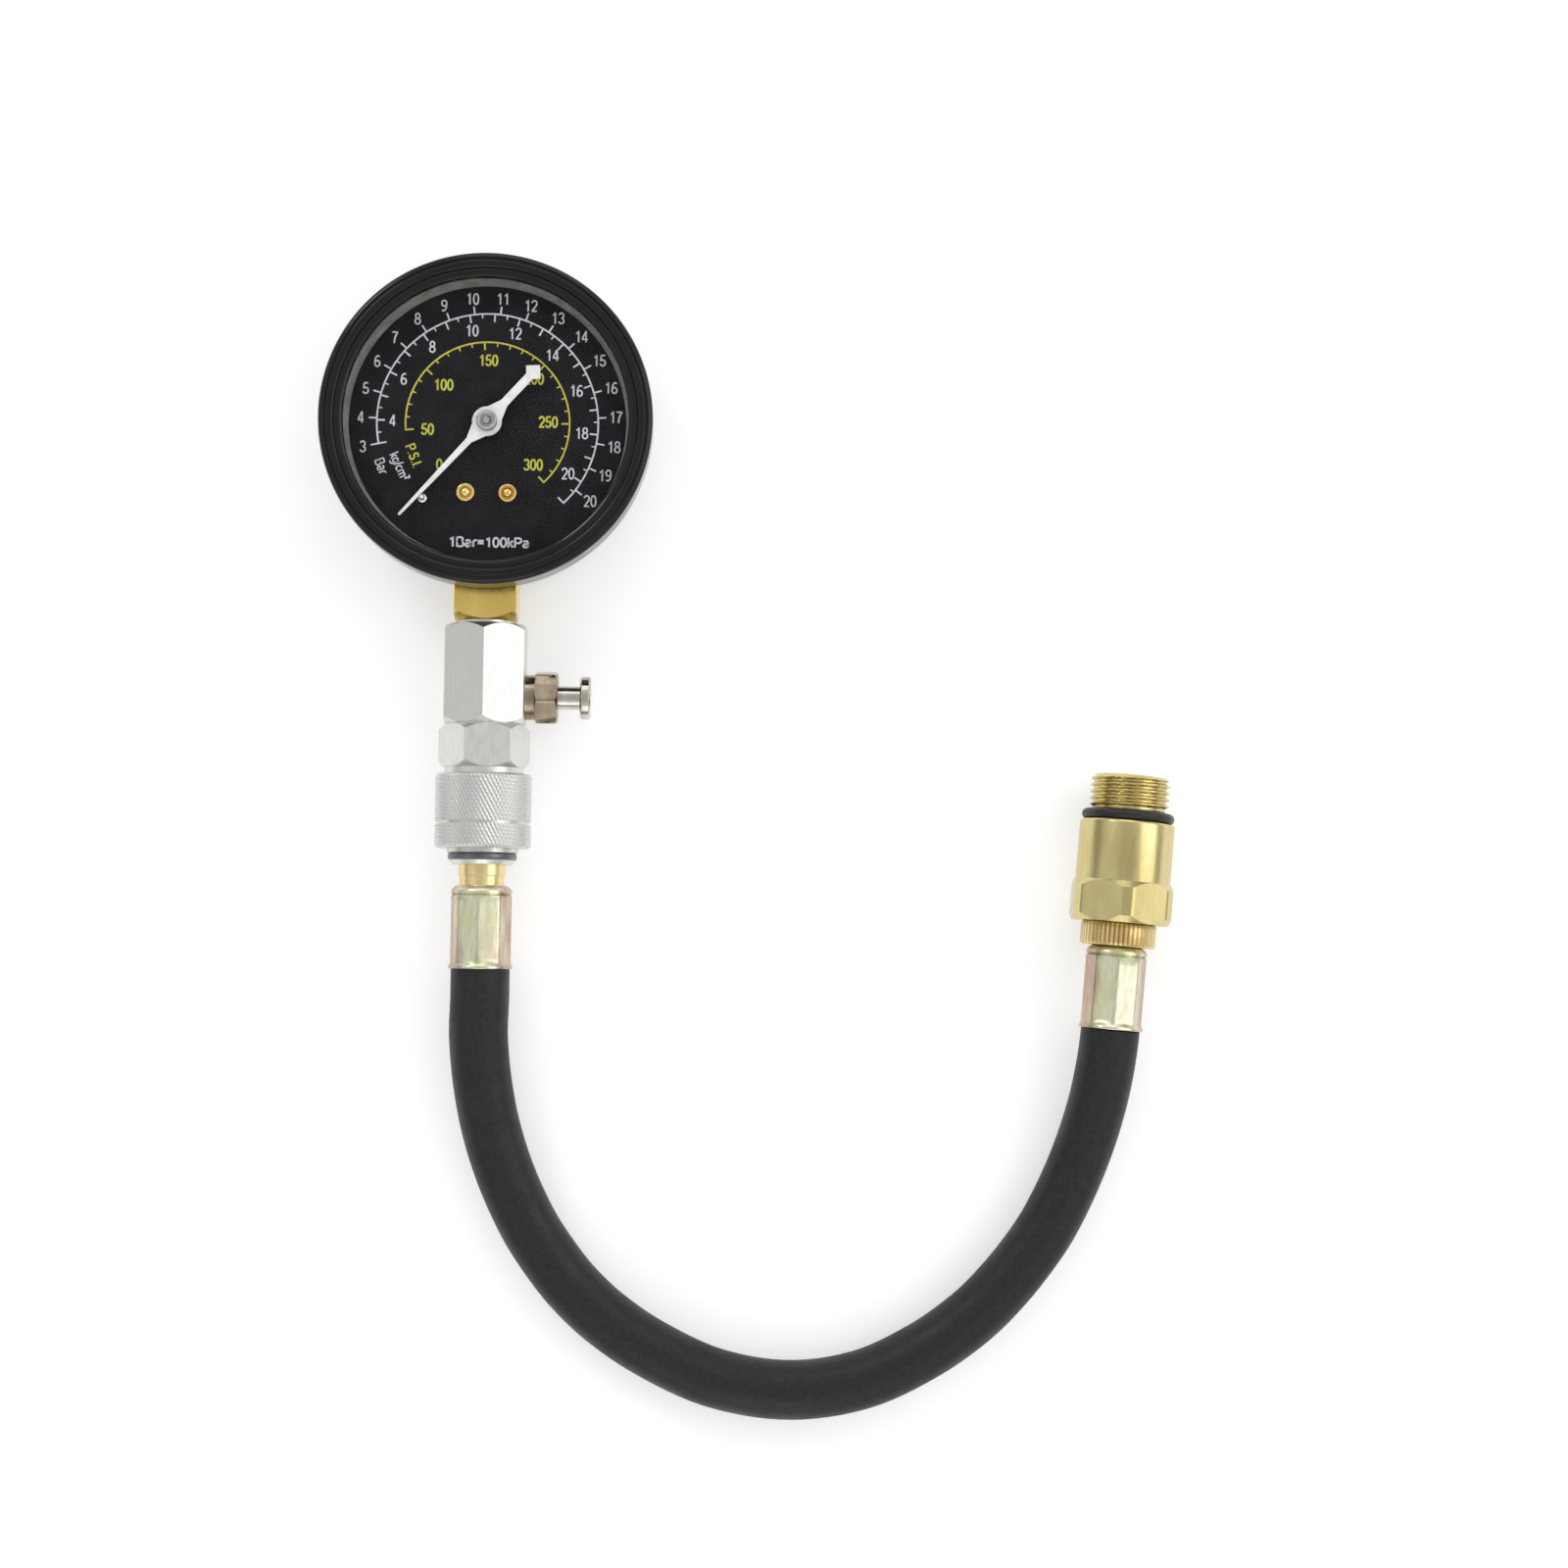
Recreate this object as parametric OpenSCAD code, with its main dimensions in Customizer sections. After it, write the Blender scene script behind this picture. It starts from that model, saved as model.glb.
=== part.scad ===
// Engine compression tester: a pressure gauge on a hexagon body with a bleed valve, a quick coupler and a
// short hose with a spark plug thread. It lies on the gauge's back, dial up, and the leg runs towards -Y.

/* [Gauge case] */
// Outer diameter of the case
case_d = 70; // [62:1:84]
// Sheet thickness of the case
case_wall = 0.9; // [0.6:0.1:1.4]
// Radius round the case's back edge
case_corner = 4; // [2:0.5:5]
// How far the rolled rim stands out
rim_out = 1; // [0.6:0.1:1.5]
// Thickness of the rolled rim
rim_t = 1; // [0.6:0.1:1.5]

/* [Bezel and lens] */
// Sheet thickness of the bezel's skirt
bezel_wall = 1; // [0.6:0.1:1.4]
// Depth of the bezel's skirt below the case's rim
bezel_skirt = 4.5; // [3:0.5:8]
// Gap between the stem's square and the bezel's skirt, which sets the case's depth
skirt_gap = 0.7; // [0.5:0.1:6]
// Width of the bezel's face from its opening to its outside
bezel_face_w = 5.4; // [4:0.1:7]
// Thickness of the bezel over the lens
bezel_t = 1.6; // [1.2:0.1:2.2]
// Radius of the bezel's outer crown
bezel_crown = 1.2; // [0.6:0.1:1.5]
// Thickness of the lens
lens_t = 1.5; // [1:0.1:2]
// Thickness of the lens gasket's flange
gasket_t = 0.8; // [0.5:0.1:1.2]

/* [Dial and pointer] */
// Depth of the dial's face below the case's rim
dial_drop = 3.8; // [3.4:0.1:5]
// Thickness of the dial
dial_t = 0.6; // [0.4:0.1:1]
// Angle of the pointer at rest, counted from +X
pointer_rest = 228; // [222:1:232]
// How far the pointer's tip stays inside the bezel's opening
pointer_short = 2.8; // [1.5:0.1:6]
// Length of the pointer's tail
tail_len = 15.3; // [12:0.1:18]
// Radius of the pointer's boss
boss_r = 3.3; // [2.8:0.1:4]
// Diameter of the heads of the two dial screws
dial_screw_head_d = 4.1; // [3.6:0.1:4.4]

/* [Stem and hexagon body] */
// Diameter of the knurled sleeve, which also sets the height of the leg's axis above the floor
sleeve_d = 21.6; // [21:0.1:24]
// Width across the flats of the stem's square
stem_af = 14; // [13:0.5:15]
// Length of the stem's square past the case
stem_out = 8.7; // [6:0.1:16]
// Width across the flats of the hexagon body
body_af = 18; // [16:0.5:20]
// Length of the hexagon body
body_len = 22.4; // [22:0.1:30]
// Distance from the hexagon body's lower end to the bleed valve's axis
bleed_up = 6.3; // [6:0.1:9]

/* [Bleed valve] */
// Diameter of the round shoulder at the bleed valve's root
bleed_shoulder_d = 10.2; // [9:0.1:11]
// Thickness of that shoulder
bleed_shoulder_t = 2.2; // [1.5:0.1:3.5]
// Width across the flats of the bleed valve's hexagon
bleed_af = 11; // [10:0.5:12]
// Length of the bleed valve's hexagon
bleed_hex_len = 5.2; // [5:0.1:8]
// Diameter of the plunger
plunger_d = 5.3; // [4.5:0.1:5.5]
// Length of the plunger that shows
plunger_out = 5; // [4:0.1:7]
// Diameter of the button
button_d = 9.7; // [8:0.1:11]
// Thickness of the button
button_t = 2.4; // [1.5:0.1:3.5]

/* [Coupler] */
// Width across the flats of the coupler's hexagon
coupler_af = 18; // [18:0.5:20]
// Length of the coupler's hexagon
coupler_hex_len = 9.9; // [9.5:0.1:14]
// Gap between the hexagon and the sleeve, which the sleeve's travel closes
sleeve_gap = 1.3; // [1.3:0.1:2]
// Length of the sleeve
sleeve_len = 16.7; // [16:0.1:22]
// Outer diameter of the coupler's tube under the sleeve
tube_d = 14.8; // [14.4:0.1:15]
// Diameter of the plug
plug_d = 10.5; // [10:0.1:10.8]
// Diameter of the locking balls
ball_d = 3.2; // [3:0.1:3.4]
// Number of locking balls
ball_count = 6; // [6:6]
// Depth to which the balls reach into the plug
ball_bite = 0.95; // [0.9:0.05:1.1]

/* [Hose and ferrules] */
// Outer diameter of the hose
hose_d = 13.2; // [12:0.1:13.2]
// Diameter of the ferrules
ferrule_d = 13.7; // [13:0.1:14.5]
// Length of the ferrules
ferrule_len = 18.7; // [16:0.1:24]
// Sheet thickness of the ferrules
ferrule_wall = 0.7; // [0.5:0.1:0.9]
// Length of the plug that shows between the coupler and the ferrule
plug_show = 4.7; // [4:0.1:7]
// How far the far fitting stands to the right of the leg
far_x = 141.8; // [140:0.1:150]

/* [Spark plug fitting] */
// Diameter of the hose end's knurled collar
collar_d = 17; // [16:0.1:18]
// Length of the knurled collar
collar_len = 5.3; // [5:0.1:9]
// Width across the flats of the adapter's hexagon
adapter_af = 22; // [21.6:0.1:24]
// Length of the adapter's hexagon
adapter_hex_len = 9.3; // [8:0.1:12]
// Diameter of the adapter's round shank
shank_d = 21.4; // [20.4:0.1:22]
// Length of the adapter's round shank
shank_len = 13.6; // [12:0.1:20]
// Outer diameter of the spark plug thread
thread_d = 18; // [17.8:0.1:18.2]
// Length of the thread past the O-ring's groove
thread_len = 7.7; // [6:0.1:14]
// Diameter of the O-ring's cord
o_ring_cord = 2.4; // [2:0.1:2.6]

/* [Hidden] */
$fn = 64;

// Shared clearances
running_fit = 0.05;
close_fit = 0.03;
seat_gap = 0.1;
free_gap = 0.3;
overrun = 1;

// Colours
black_paint = [0.06, 0.06, 0.07];
dial_black = [0.05, 0.05, 0.06];
paint_white = [0.92, 0.92, 0.9];
brass = [0.82, 0.66, 0.32];
pale_brass = [0.86, 0.78, 0.5];
steel = [0.62, 0.63, 0.65];
nickel = [0.78, 0.77, 0.74];
aluminium = [0.8, 0.8, 0.81];
zinc_yellow = [0.84, 0.72, 0.5];
rubber = [0.07, 0.07, 0.07];
grey_rubber = [0.45, 0.45, 0.46];
glass = [0.85, 0.9, 0.92, 0.3];

// Joins and sockets
root_in = 1;
socket_room = 0.5;

// Heights in the gauge
case_r = case_d / 2;
case_in_r = case_r - case_wall;
rim_r = case_r + rim_out;
leg_z = sleeve_d / 2;
case_h = leg_z + stem_af / 2 + skirt_gap + bezel_skirt;
dial_top = case_h - dial_drop;
dial_bottom = dial_top - dial_t;
lens_bottom = case_h + gasket_t;
lens_top = lens_bottom + lens_t;
bezel_in_r = rim_r + close_fit;
bezel_r = bezel_in_r + bezel_wall;
bezel_open_r = bezel_r - bezel_face_w;
bezel_top = lens_top + bezel_t;
bezel_step_w = 0.63 * bezel_face_w;
bezel_step_drop = 0.5;
bezel_lip_t = 0.7;
gasket_sleeve_r = case_in_r - seat_gap;
dial_r = case_in_r - rim_t / 2;
lens_r = rim_r - seat_gap;
pointer_t = 0.5;
pointer_z = dial_top + 0.55 * dial_drop;
pointer_len = bezel_open_r - pointer_short;
hub_r = 2.3;
hub_top = lens_bottom - free_gap - seat_gap;

// Growth of the parts across the gauge with its case, and of their levels with the room under the dial
unit = case_d / 70;
pad_top = leg_z - free_gap;
level = (dial_bottom - pad_top) / 8.1;

// Dial screws, the stop pin and the socket's posts
screw_x = 4.7 * unit;
screw_y = -15.7 * unit;
dial_screw_shank_r = 1.4;
dial_screw_len = 5;
dial_screw_flange_t = 0.5;
post_r = 2.4;
stop_r = 0.65;
stop_orbit = 22.4 * unit;
hand_root_w = 1.7;
hand_tip_w = 0.6;
hand_half_w = (hand_root_w + (hand_tip_w - hand_root_w) * stop_orbit / pointer_len) / 2;
stop_angle = pointer_rest + asin((stop_r + hand_half_w + close_fit) / stop_orbit);
dial_hole_r = 3;

// Socket inside the case: its corners stop short of the case's rounded edge
block_w = 16 * unit;
block_t0 = 13.5 * unit;
block_t1 = sqrt(pow(case_in_r - case_corner + case_wall - free_gap, 2) - pow(block_w / 2, 2));
pad_t0 = 8 * unit;
pad_bottom = leg_z - 5.8 * level;
bore_r = 1.5;
cross_r = 1.2;
cross_len = 5.5 * unit;
spigot_r = 5;
spigot_len = 8;
washer_t = 0.9;
washer_r = 6.4;
stem_reach = case_r + stem_out;
case_hole_w = stem_af + 1.2;
stem_turned_r = 0.985 * stem_af / sqrt(2);
hex_corner_share = 0.99;
case_screw_x = 4.5 * unit;
case_screw_t = 22.5 * unit;
case_screw_r = 1.5;
case_screw_len = 5;
case_screw_head_r = 3;
case_screw_head_t = 1.4;

// Pressure tube and its tip
coil_r = 24 * unit;
tube_half_t = 1.5;
tube_half_w = 0.55 * (dial_bottom - leg_z);
tube_wall = 0.4;
tube_start = 260;
slot_start = 240;
tube_end = 2;
tip_end = -10;
tip_half_t = 2;
tip_half_w = tube_half_w + 0.7 * level;
block_top = leg_z + tube_half_w + 1.1 * level;

// Movement: levels counted from the pad's top
plate_t = level;
plate_z = pad_top;
pillar_z = plate_z + plate_t;
pillar_len = 4.9 * level;
front_z = pillar_z + pillar_len;
link_z = pillar_z + 0.7 * level;
link_t = 0.7 * level;
sector_z = pillar_z + 1.9 * level;
sector_t = 1.2 * level;
spring_z = sector_z + sector_t + 0.6 * level;
hairspring_t = 0.7 * level;
arbor_r = 0.75;
pivot_r = 0.55;
gear_module = 0.4 * unit;
pinion_teeth = 8;
sector_teeth = 60;
pressure_angle = 20;
gear_backlash = 0.06;
pinion_r = gear_module * pinion_teeth / 2;
sector_r = gear_module * sector_teeth / 2;
sector_add = 0.19 * unit;
gear_ded = 1.2 * gear_module;
gear_step = 360 / sector_teeth;
pointer_turn = 275;
sector_turn = pointer_turn * pinion_teeth / sector_teeth;
pivot_x = 13 * unit;
pivot_y = 4 * unit;
mesh_angle = atan2(-pivot_y, -pivot_x);
arm_len = 7 * unit;
arm_rest = -90 - sector_turn / 2;
link_len = 9.1 * unit;
joint_x = pivot_x + arm_len * cos(arm_rest);
joint_y = pivot_y + arm_len * sin(arm_rest);
tip_x = joint_x + link_len;
tip_y = joint_y - arm_len * (1 - cos(sector_turn / 2)) / 2;
pin_r = 0.5;
open_gap = 0.4;
pillar_shares = [[-7.5, 4.5], [8, 11], [0.5, -9.5]];
pillar_places = [for (p = pillar_shares) p * unit];
pillar_r = 1.5;
collet_r = 1.2 * unit;
spiral_turns = 4;
spiral_strip = 0.18;
spiral_start_r = collet_r + running_fit;
spiral_end_r = 5.2 * unit;
spiral_end_a = atan2(pillar_places[0].y, pillar_places[0].x);
plate_screw_r = 0.8;
mount_screw_x = 5.5 * unit;
mount_screw_y = -10.7 * unit;
mount_screw_r = 1;
mount_screw_len = 3 * level;
plate_shares = [[-10, -13.2], [9, -13.2], [9, -6], [17, 1], [17, 7], [10, 14], [5.5, 14], [-10, 8]];
plate_points = [for (p = plate_shares) p * unit];

// Hexagon body
body_t0 = stem_reach + washer_t;
body_t1 = body_t0 + body_len;
bleed_t = body_t1 - bleed_up;
nipple_r = 5.8;
nipple_len = 8;
passage_r = 2.5;

// Bleed valve, counted outwards from the hexagon body's flat
bleed_spigot_r = 4;
bleed_spigot_len = body_af / 2 - passage_r - socket_room;
bleed_len = bleed_shoulder_t + bleed_hex_len;
chamber_r = 3.2;
chamber_wall = 1.2;
chamber_end = bleed_len - chamber_wall;
chamber_floor = chamber_wall - seat_gap - bleed_spigot_len;
port_r = 1.2;
flange_t = 1.6;
flange_r = chamber_r - running_fit;
flange_z = chamber_end - free_gap - flange_t;
poppet_pin_r = 0.7;
poppet_t = 0.6;
seal_r = 1.8;
seal_t = 0.6;
bleed_foot = -bleed_spigot_len - seal_t - seat_gap;
button_stud_r = 1.2;
bleed_coil_r = 2.3;
bleed_wire_r = 0.3;
bleed_coils = 7;
bleed_turn = 11;

// Coupler, counted down the leg from the top of its hexagon
coupler_t = body_t1;
coupler_turn = -9;
tube_r = tube_d / 2;
neck_r = tube_r + 1.5;
sleeve_r = sleeve_d / 2;
sleeve_z = coupler_hex_len + sleeve_gap;
sleeve_end = sleeve_z + sleeve_len;
neck_cover = 2;
neck_end = sleeve_z + neck_cover;
ring_w = 1;
ring_r = tube_r + 0.35;
ring_t = 1.5;
lip_r = tube_r + 0.65;
lip_len = 1;
ring_z = sleeve_end + lip_len + seat_gap;
ring_bevel = 0.3;
nose_len = 1;
nose_bevel = 0.9;
nose_r = tube_r - 0.55;
nose_end = ring_z + ring_t + nose_len;
plug_r = plug_d / 2;
ball_r = ball_d / 2;
ball_turn = 30;
ball_orbit = plug_r - ball_bite + ball_r;
ball_up = 6.1;
ball_z = sleeve_end - ball_up;
cam_slope = 0.9;
ball_lift = ball_bite + running_fit;
cam_angle = atan(cam_slope);
cam_mid_r = ball_orbit + (ball_r + running_fit) / cos(cam_angle);
land_r = tube_r + running_fit;
land_len = 1.5;
recess_r = cam_mid_r + ball_lift + 0.2;
plug_tip_len = 4.2;
plug_tip_reach = 7.9;
plug_tip_z = ball_z - plug_tip_reach;
plug_tip_r = plug_r - 0.95;
plug_bore_r = 2;
seal_wire_r = 0.85;
plug_seal_z = plug_tip_z + plug_tip_len / 2 + seat_gap;
shoulder_reach = 3.4;
spring_shoulder = ball_z - shoulder_reach;
sleeve_wire_r = 0.4;
sleeve_coil_r = (tube_r + neck_r) / 2;
sleeve_coil_pitch = 2;
sleeve_coils = round((spring_shoulder - neck_end) / sleeve_coil_pitch);

// Hose side, counted down the leg from the gauge's centre
nose_t = coupler_t + nose_end;
ferrule_t = nose_t + plug_show;
lip_t = ferrule_t + ferrule_len;
hose_r = hose_d / 2;
hose_sides = 12;
ferrule_r = ferrule_d / 2;
ferrule_lip_r = ferrule_r + 0.35;
ferrule_lip_t = 0.9;
ferrule_shoulder = 1.4;
ferrule_groove_r = 0.35;
ferrule_groove_up = 0.6;
ferrule_top_len = 2.7;
ferrule_turn = -4;
ferrule_roof = 1.2;
crimp_af = ferrule_d - 0.9;
crimp_r = ferrule_r - 0.05;
crimp_join = 0.1;
crimp_in_r = crimp_af / 2 - ferrule_wall;
nipple_barb_r = 3.8;
nipple_root_r = 3.3;
barb_len = 3;
barb_count = 4;
tail_in = 1.5;
tail_len_out = ferrule_len - 4 * root_in;
plug_neck_r = plug_r - 0.25;

// Far fitting: its lip's centre, its lean from +Y and its height
far_down = 11.8;
far_y = -lip_t - far_down;
far_lean = 4.5;
adapter_turn = 27.6;
adapter_turned_r = 0.945 * adapter_af / 2 / cos(30);
far_z = adapter_turned_r;

// Route of the free hose, counted from the upper ferrule's lip: right, up the leg and off the floor
route_points = [[0, -6.7, 3.8], [-0.2, -14.8, 2.9], [0.8, -25.3, 1.7], [2.9, -35.8, 0.7], [6.4, -46.3, 0.1],
    [11.4, -56.8, 0], [15.9, -63.7, 0], [21.4, -70.6, 0], [28.9, -77.6, 0], [39.5, -84.6, 0], [54, -91, 0],
    [70.8, -93.5, 0], [87, -91, 0], [101, -84.4, 0], [111.5, -76.9, 0], [118.6, -69.8, 0],
    [124.3, -62.7, 0], [128.9, -55.7, 0.2], [134, -45, 0.9], [137.7, -34.4, 2.3], [140.2, -24, 3.9]];

// Far fitting, counted up from its lip
collar_u = ferrule_len;
adapter_u = collar_u + collar_len;
hose_thread_r = 6.9;
hose_thread_len = 11.5;
undercut = 0.5;
undercut_len = 2;
adapter_bore_r = hose_thread_r + running_fit;
adapter_bore_len = hose_thread_len + root_in;
shank_u = adapter_u + adapter_hex_len;
groove_u = shank_u + shank_len;
groove_r = thread_d / 2 - 1;
groove_w = o_ring_cord + 0.2;
thread_u = groove_u + groove_w;
adapter_end = thread_u + thread_len;
mouth_r = 5;
edge_bevel = 0.6;
small_cord = 1.7;
small_ring_r = hose_thread_r - undercut + small_cord / 2 + running_fit;
core_in = 8;
core_u = collar_u + core_in;
core_step = 2;
core_base = core_u + core_step;
core_r = 2.6;
core_len = 8.5;
core_wall = 0.6;
core_sole = 1.2;
core_port_r = 0.9;
valve_pin_r = 0.6;
valve_disc_r = 1.7;
valve_disc_t = 0.7;
valve_seal_t = 0.6;
valve_disc_u = core_len - 2;
valve_coil_r = 1.3;
valve_wire_r = 0.2;
valve_coils = 6;

// Places a child on the leg's axis, its local Z down the leg
module on_leg(t) translate([0, -t, leg_z]) rotate([90, 0, 0]) children();

// Places a child on the bleed valve's axis, its local Z outwards from the hexagon body
module on_bleed() translate([body_af / 2, -bleed_t, leg_z]) rotate([0, 90, 0]) children();

// Places a child on the far fitting's axis, its local Z up towards the thread
module on_far(u) translate([far_x, far_y, far_z]) rotate([0, 0, -far_lean]) rotate([-90, 0, 0])
    translate([0, 0, u]) children();

// Square or hexagonal bar whose corners are turned to a radius and bevelled at both ends
module bar(sides, af, len, corner_r, turn = 0) {
    face_r = af / 2 - seat_gap;
    bevel = (corner_r - face_r) * tan(30);
    intersection() {
        rotate(turn) cylinder(r = af / 2 / cos(180 / sides), h = len, $fn = sides);
        rotate_extrude() polygon([[0, 0], [face_r, 0], [corner_r, bevel], [corner_r, len - bevel],
            [face_r, len], [0, len]]);
    }
}

module hex_bar(af, len, turn = 0) bar(6, af, len, hex_corner_share * af / 2 / cos(30), turn);

// Ring between two radii
module ring(inner, outer, height) difference() {
    cylinder(r = outer, h = height);
    translate([0, 0, -overrun]) cylinder(r = inner, h = height + 2 * overrun);
}

// Section of a cup's outside: a foot with a rounded edge
module cup_section(r, h, corner) {
    square([r - corner, h]);
    translate([0, corner]) square([r, h - corner]);
    translate([r - corner, corner]) intersection() {
        circle(corner);
        translate([0, -corner]) square(corner);
    }
}

// Coil spring of round wire along Z, its ends cut level by resting flat
module coil_spring(mean_r, wire_r, length, turns, steps = 14, sides = 6) {
    count = turns * steps;
    rings = [for (i = [0:count]) let (a = 360 * i / steps, z = wire_r + (length - 2 * wire_r) * i / count)
        [for (k = [0:sides - 1]) let (b = 360 * k / sides)
            [(mean_r + wire_r * cos(b)) * cos(a), (mean_r + wire_r * cos(b)) * sin(a), z + wire_r * sin(b)]]];
    loft(rings, sides);
}

// Closed skin through rings of equal point counts
module loft(rings, sides) {
    last = len(rings) - 1;
    points = [for (r = rings) each r];
    skin = [for (i = [0:last - 1], k = [0:sides - 1]) let (m = (k + 1) % sides)
        each [[i * sides + k, (i + 1) * sides + m, (i + 1) * sides + k],
            [i * sides + k, i * sides + m, (i + 1) * sides + m]]];
    near_cap = [for (k = [sides - 1:-1:0]) k];
    far_cap = [for (k = [0:sides - 1]) last * sides + k];
    polyhedron(points = points, faces = concat(skin, [near_cap, far_cap]));
}

// Involute of an angle, in degrees
function inv(a) = tan(a) * 180 / PI - a;

// Half the angle that a tooth covers at a radius
function tooth_half(teeth, pitch_r, r) = let (base_r = pitch_r * cos(pressure_angle),
    at = r > base_r ? acos(base_r / r) : 0)
    90 / teeth - gear_backlash / 4 / pitch_r * 180 / PI + inv(pressure_angle) - inv(at);

// Points over one tooth, centred on an angle
function tooth(teeth, pitch_r, add, ded, centre) = let (root = pitch_r - ded, tip = pitch_r + add,
    radii = [root, root + (tip - root) * 0.4, root + (tip - root) * 0.7, tip])
    [for (end = [[0, -1], [1, -1], [2, -1], [3, -1], [3, 1], [2, 1], [1, 1], [0, 1]])
        let (r = radii[end[0]], a = centre + end[1] * tooth_half(teeth, pitch_r, r)) r * [cos(a), sin(a)]];

module case() color(black_paint) difference() {
    rotate_extrude() difference() {
        union() {
            cup_section(case_r, case_h, case_corner);
            translate([case_r - case_wall, case_h - rim_t]) square([rim_out + case_wall, rim_t]);
        }
        translate([0, case_wall]) cup_section(case_in_r, case_h, case_corner - case_wall);
    }
    on_leg(case_r / 2) translate([-case_hole_w / 2, -case_hole_w / 2])
        cube([case_hole_w, case_hole_w, case_r]);
    case_screw_places() translate([0, 0, -overrun])
        cylinder(r = case_screw_r + seat_gap, h = case_wall + 2 * overrun);
    case_screw_seats();
}

module case_screw_places() for (side = [-1, 1]) translate([side * case_screw_x, -case_screw_t]) children();

// Sunk seats under the heads of the two case screws
module case_screw_seats() case_screw_places() cylinder(r1 = case_screw_head_r + seat_gap,
    r2 = case_screw_r + seat_gap, h = case_screw_head_t + seat_gap);

module bezel() color(black_paint) rotate_extrude() difference() {
    union() {
        polygon([[bezel_in_r, case_h - bezel_skirt], [bezel_r, case_h - bezel_skirt],
            [bezel_r, bezel_top - bezel_crown], [bezel_r - bezel_crown, bezel_top - bezel_crown],
            [bezel_r - bezel_crown, bezel_top], [bezel_r - bezel_step_w, bezel_top],
            [bezel_r - bezel_step_w, bezel_top - bezel_step_drop], [bezel_open_r, lens_top + bezel_lip_t],
            [bezel_open_r, lens_top], [bezel_in_r, lens_top]]);
        translate([bezel_r - bezel_crown, bezel_top - bezel_crown]) intersection() {
            circle(bezel_crown);
            square(bezel_crown);
        }
    }
}

module lens() color(glass) translate([0, 0, lens_bottom]) cylinder(r = lens_r, h = lens_t);

module lens_gasket() color(grey_rubber) {
    translate([0, 0, case_h]) ring(bezel_open_r, lens_r, gasket_t);
    translate([0, 0, dial_top]) ring(bezel_open_r, gasket_sleeve_r, dial_drop);
}

module dial() color(dial_black) translate([0, 0, dial_bottom]) difference() {
    cylinder(r = dial_r, h = dial_t);
    translate([0, 0, -overrun]) {
        cylinder(r = dial_hole_r, h = dial_t + 2 * overrun);
        dial_screw_places() cylinder(r = dial_screw_shank_r + seat_gap, h = dial_t + 2 * overrun);
        rotate(stop_angle) translate([stop_orbit, 0])
            cylinder(r = stop_r + close_fit, h = dial_t + 2 * overrun);
    }
}

module dial_screw_places() for (side = [-1, 1]) translate([side * screw_x, screw_y]) children();

// A round flange with a domed centre, and its shank down into the socket's post
module dial_screws() color(brass) dial_screw_places() {
    dome_r = dial_screw_head_d / 4;
    translate([0, 0, dial_top - dial_screw_len]) cylinder(r = dial_screw_shank_r, h = dial_screw_len);
    translate([0, 0, dial_top]) cylinder(r = dial_screw_head_d / 2, h = dial_screw_flange_t);
    translate([0, 0, dial_top + dial_screw_flange_t]) intersection() {
        sphere(dome_r);
        cylinder(r = dome_r, h = dome_r);
    }
}

module stop_pin() color(steel) rotate(stop_angle) translate([stop_orbit, 0]) {
    translate([0, 0, dial_bottom]) cylinder(r = stop_r, h = pointer_z + pointer_t - dial_bottom);
    translate([0, 0, pointer_z + pointer_t]) sphere(stop_r);
}

// White blade: a long tapered hand, a square-cornered counterweight and a boss, each joined by sloping webs
module pointer() color(paint_white) rotate(pointer_rest) translate([0, 0, pointer_z]) difference() {
    bar_w = 1.9;
    web = 1.7 * boss_r;
    block = 3.1;
    linear_extrude(pointer_t) {
        circle(boss_r);
        polygon([[0, -hand_root_w / 2], [pointer_len - hand_tip_w / 2, -hand_tip_w / 2], [pointer_len, 0],
            [pointer_len - hand_tip_w / 2, hand_tip_w / 2], [0, hand_root_w / 2]]);
        polygon([[-web, -bar_w / 2], [0, -0.95 * boss_r], [web, -hand_root_w / 2], [web, hand_root_w / 2],
            [0, 0.95 * boss_r], [-web, bar_w / 2]]);
        translate([-tail_len + block / 2, -bar_w / 2]) square([tail_len - block / 2, bar_w]);
        translate([-tail_len + block / sqrt(2), 0]) rotate(45) square(block, center = true);
    }
    translate([0, 0, -overrun]) cylinder(r = hub_r - free_gap, h = pointer_t + 2 * overrun);
}

// Bush that carries the blade: a flange over it, a collar under it and a turned dimple in its top
module pointer_hub() color(steel) difference() {
    union() {
        translate([0, 0, pointer_z - pointer_t])
            cylinder(r = hub_r - free_gap - close_fit, h = hub_top - pointer_z);
        translate([0, 0, pointer_z + pointer_t]) cylinder(r = hub_r, h = hub_top - pointer_z - pointer_t);
    }
    translate([0, 0, pointer_z - 2 * overrun]) cylinder(r = arbor_r + close_fit, h = hub_top);
    translate([0, 0, hub_top]) rotate_extrude() translate([hub_r * 0.6, 0]) circle(hub_r * 0.12);
}

// Shaft of the pointer with its pinion and the hairspring's collet
module pinion_shaft() color(steel) {
    translate([0, 0, plate_z]) cylinder(r = pivot_r, h = plate_t + free_gap);
    translate([0, 0, pillar_z + free_gap]) cylinder(r = arbor_r, h = hub_top - free_gap - pillar_z);
    translate([0, 0, spring_z]) cylinder(r = collet_r, h = hairspring_t);
    translate([0, 0, sector_z - free_gap]) linear_extrude(sector_t + 2 * free_gap) rotate(mesh_angle + 180)
        polygon([for (i = [0:pinion_teeth - 1])
            each tooth(pinion_teeth, pinion_r, gear_module, gear_ded, (i + 0.5) * 360 / pinion_teeth)]);
}

// Point of the hairspring's spiral, from 0 at the collet to 1 at its outer end
function spiral_point(share, off) = let (a = spiral_end_a - 360 * spiral_turns * (1 - share),
    r = spiral_start_r + (spiral_end_r - spiral_start_r) * share + off) [r * cos(a), r * sin(a)];

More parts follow.
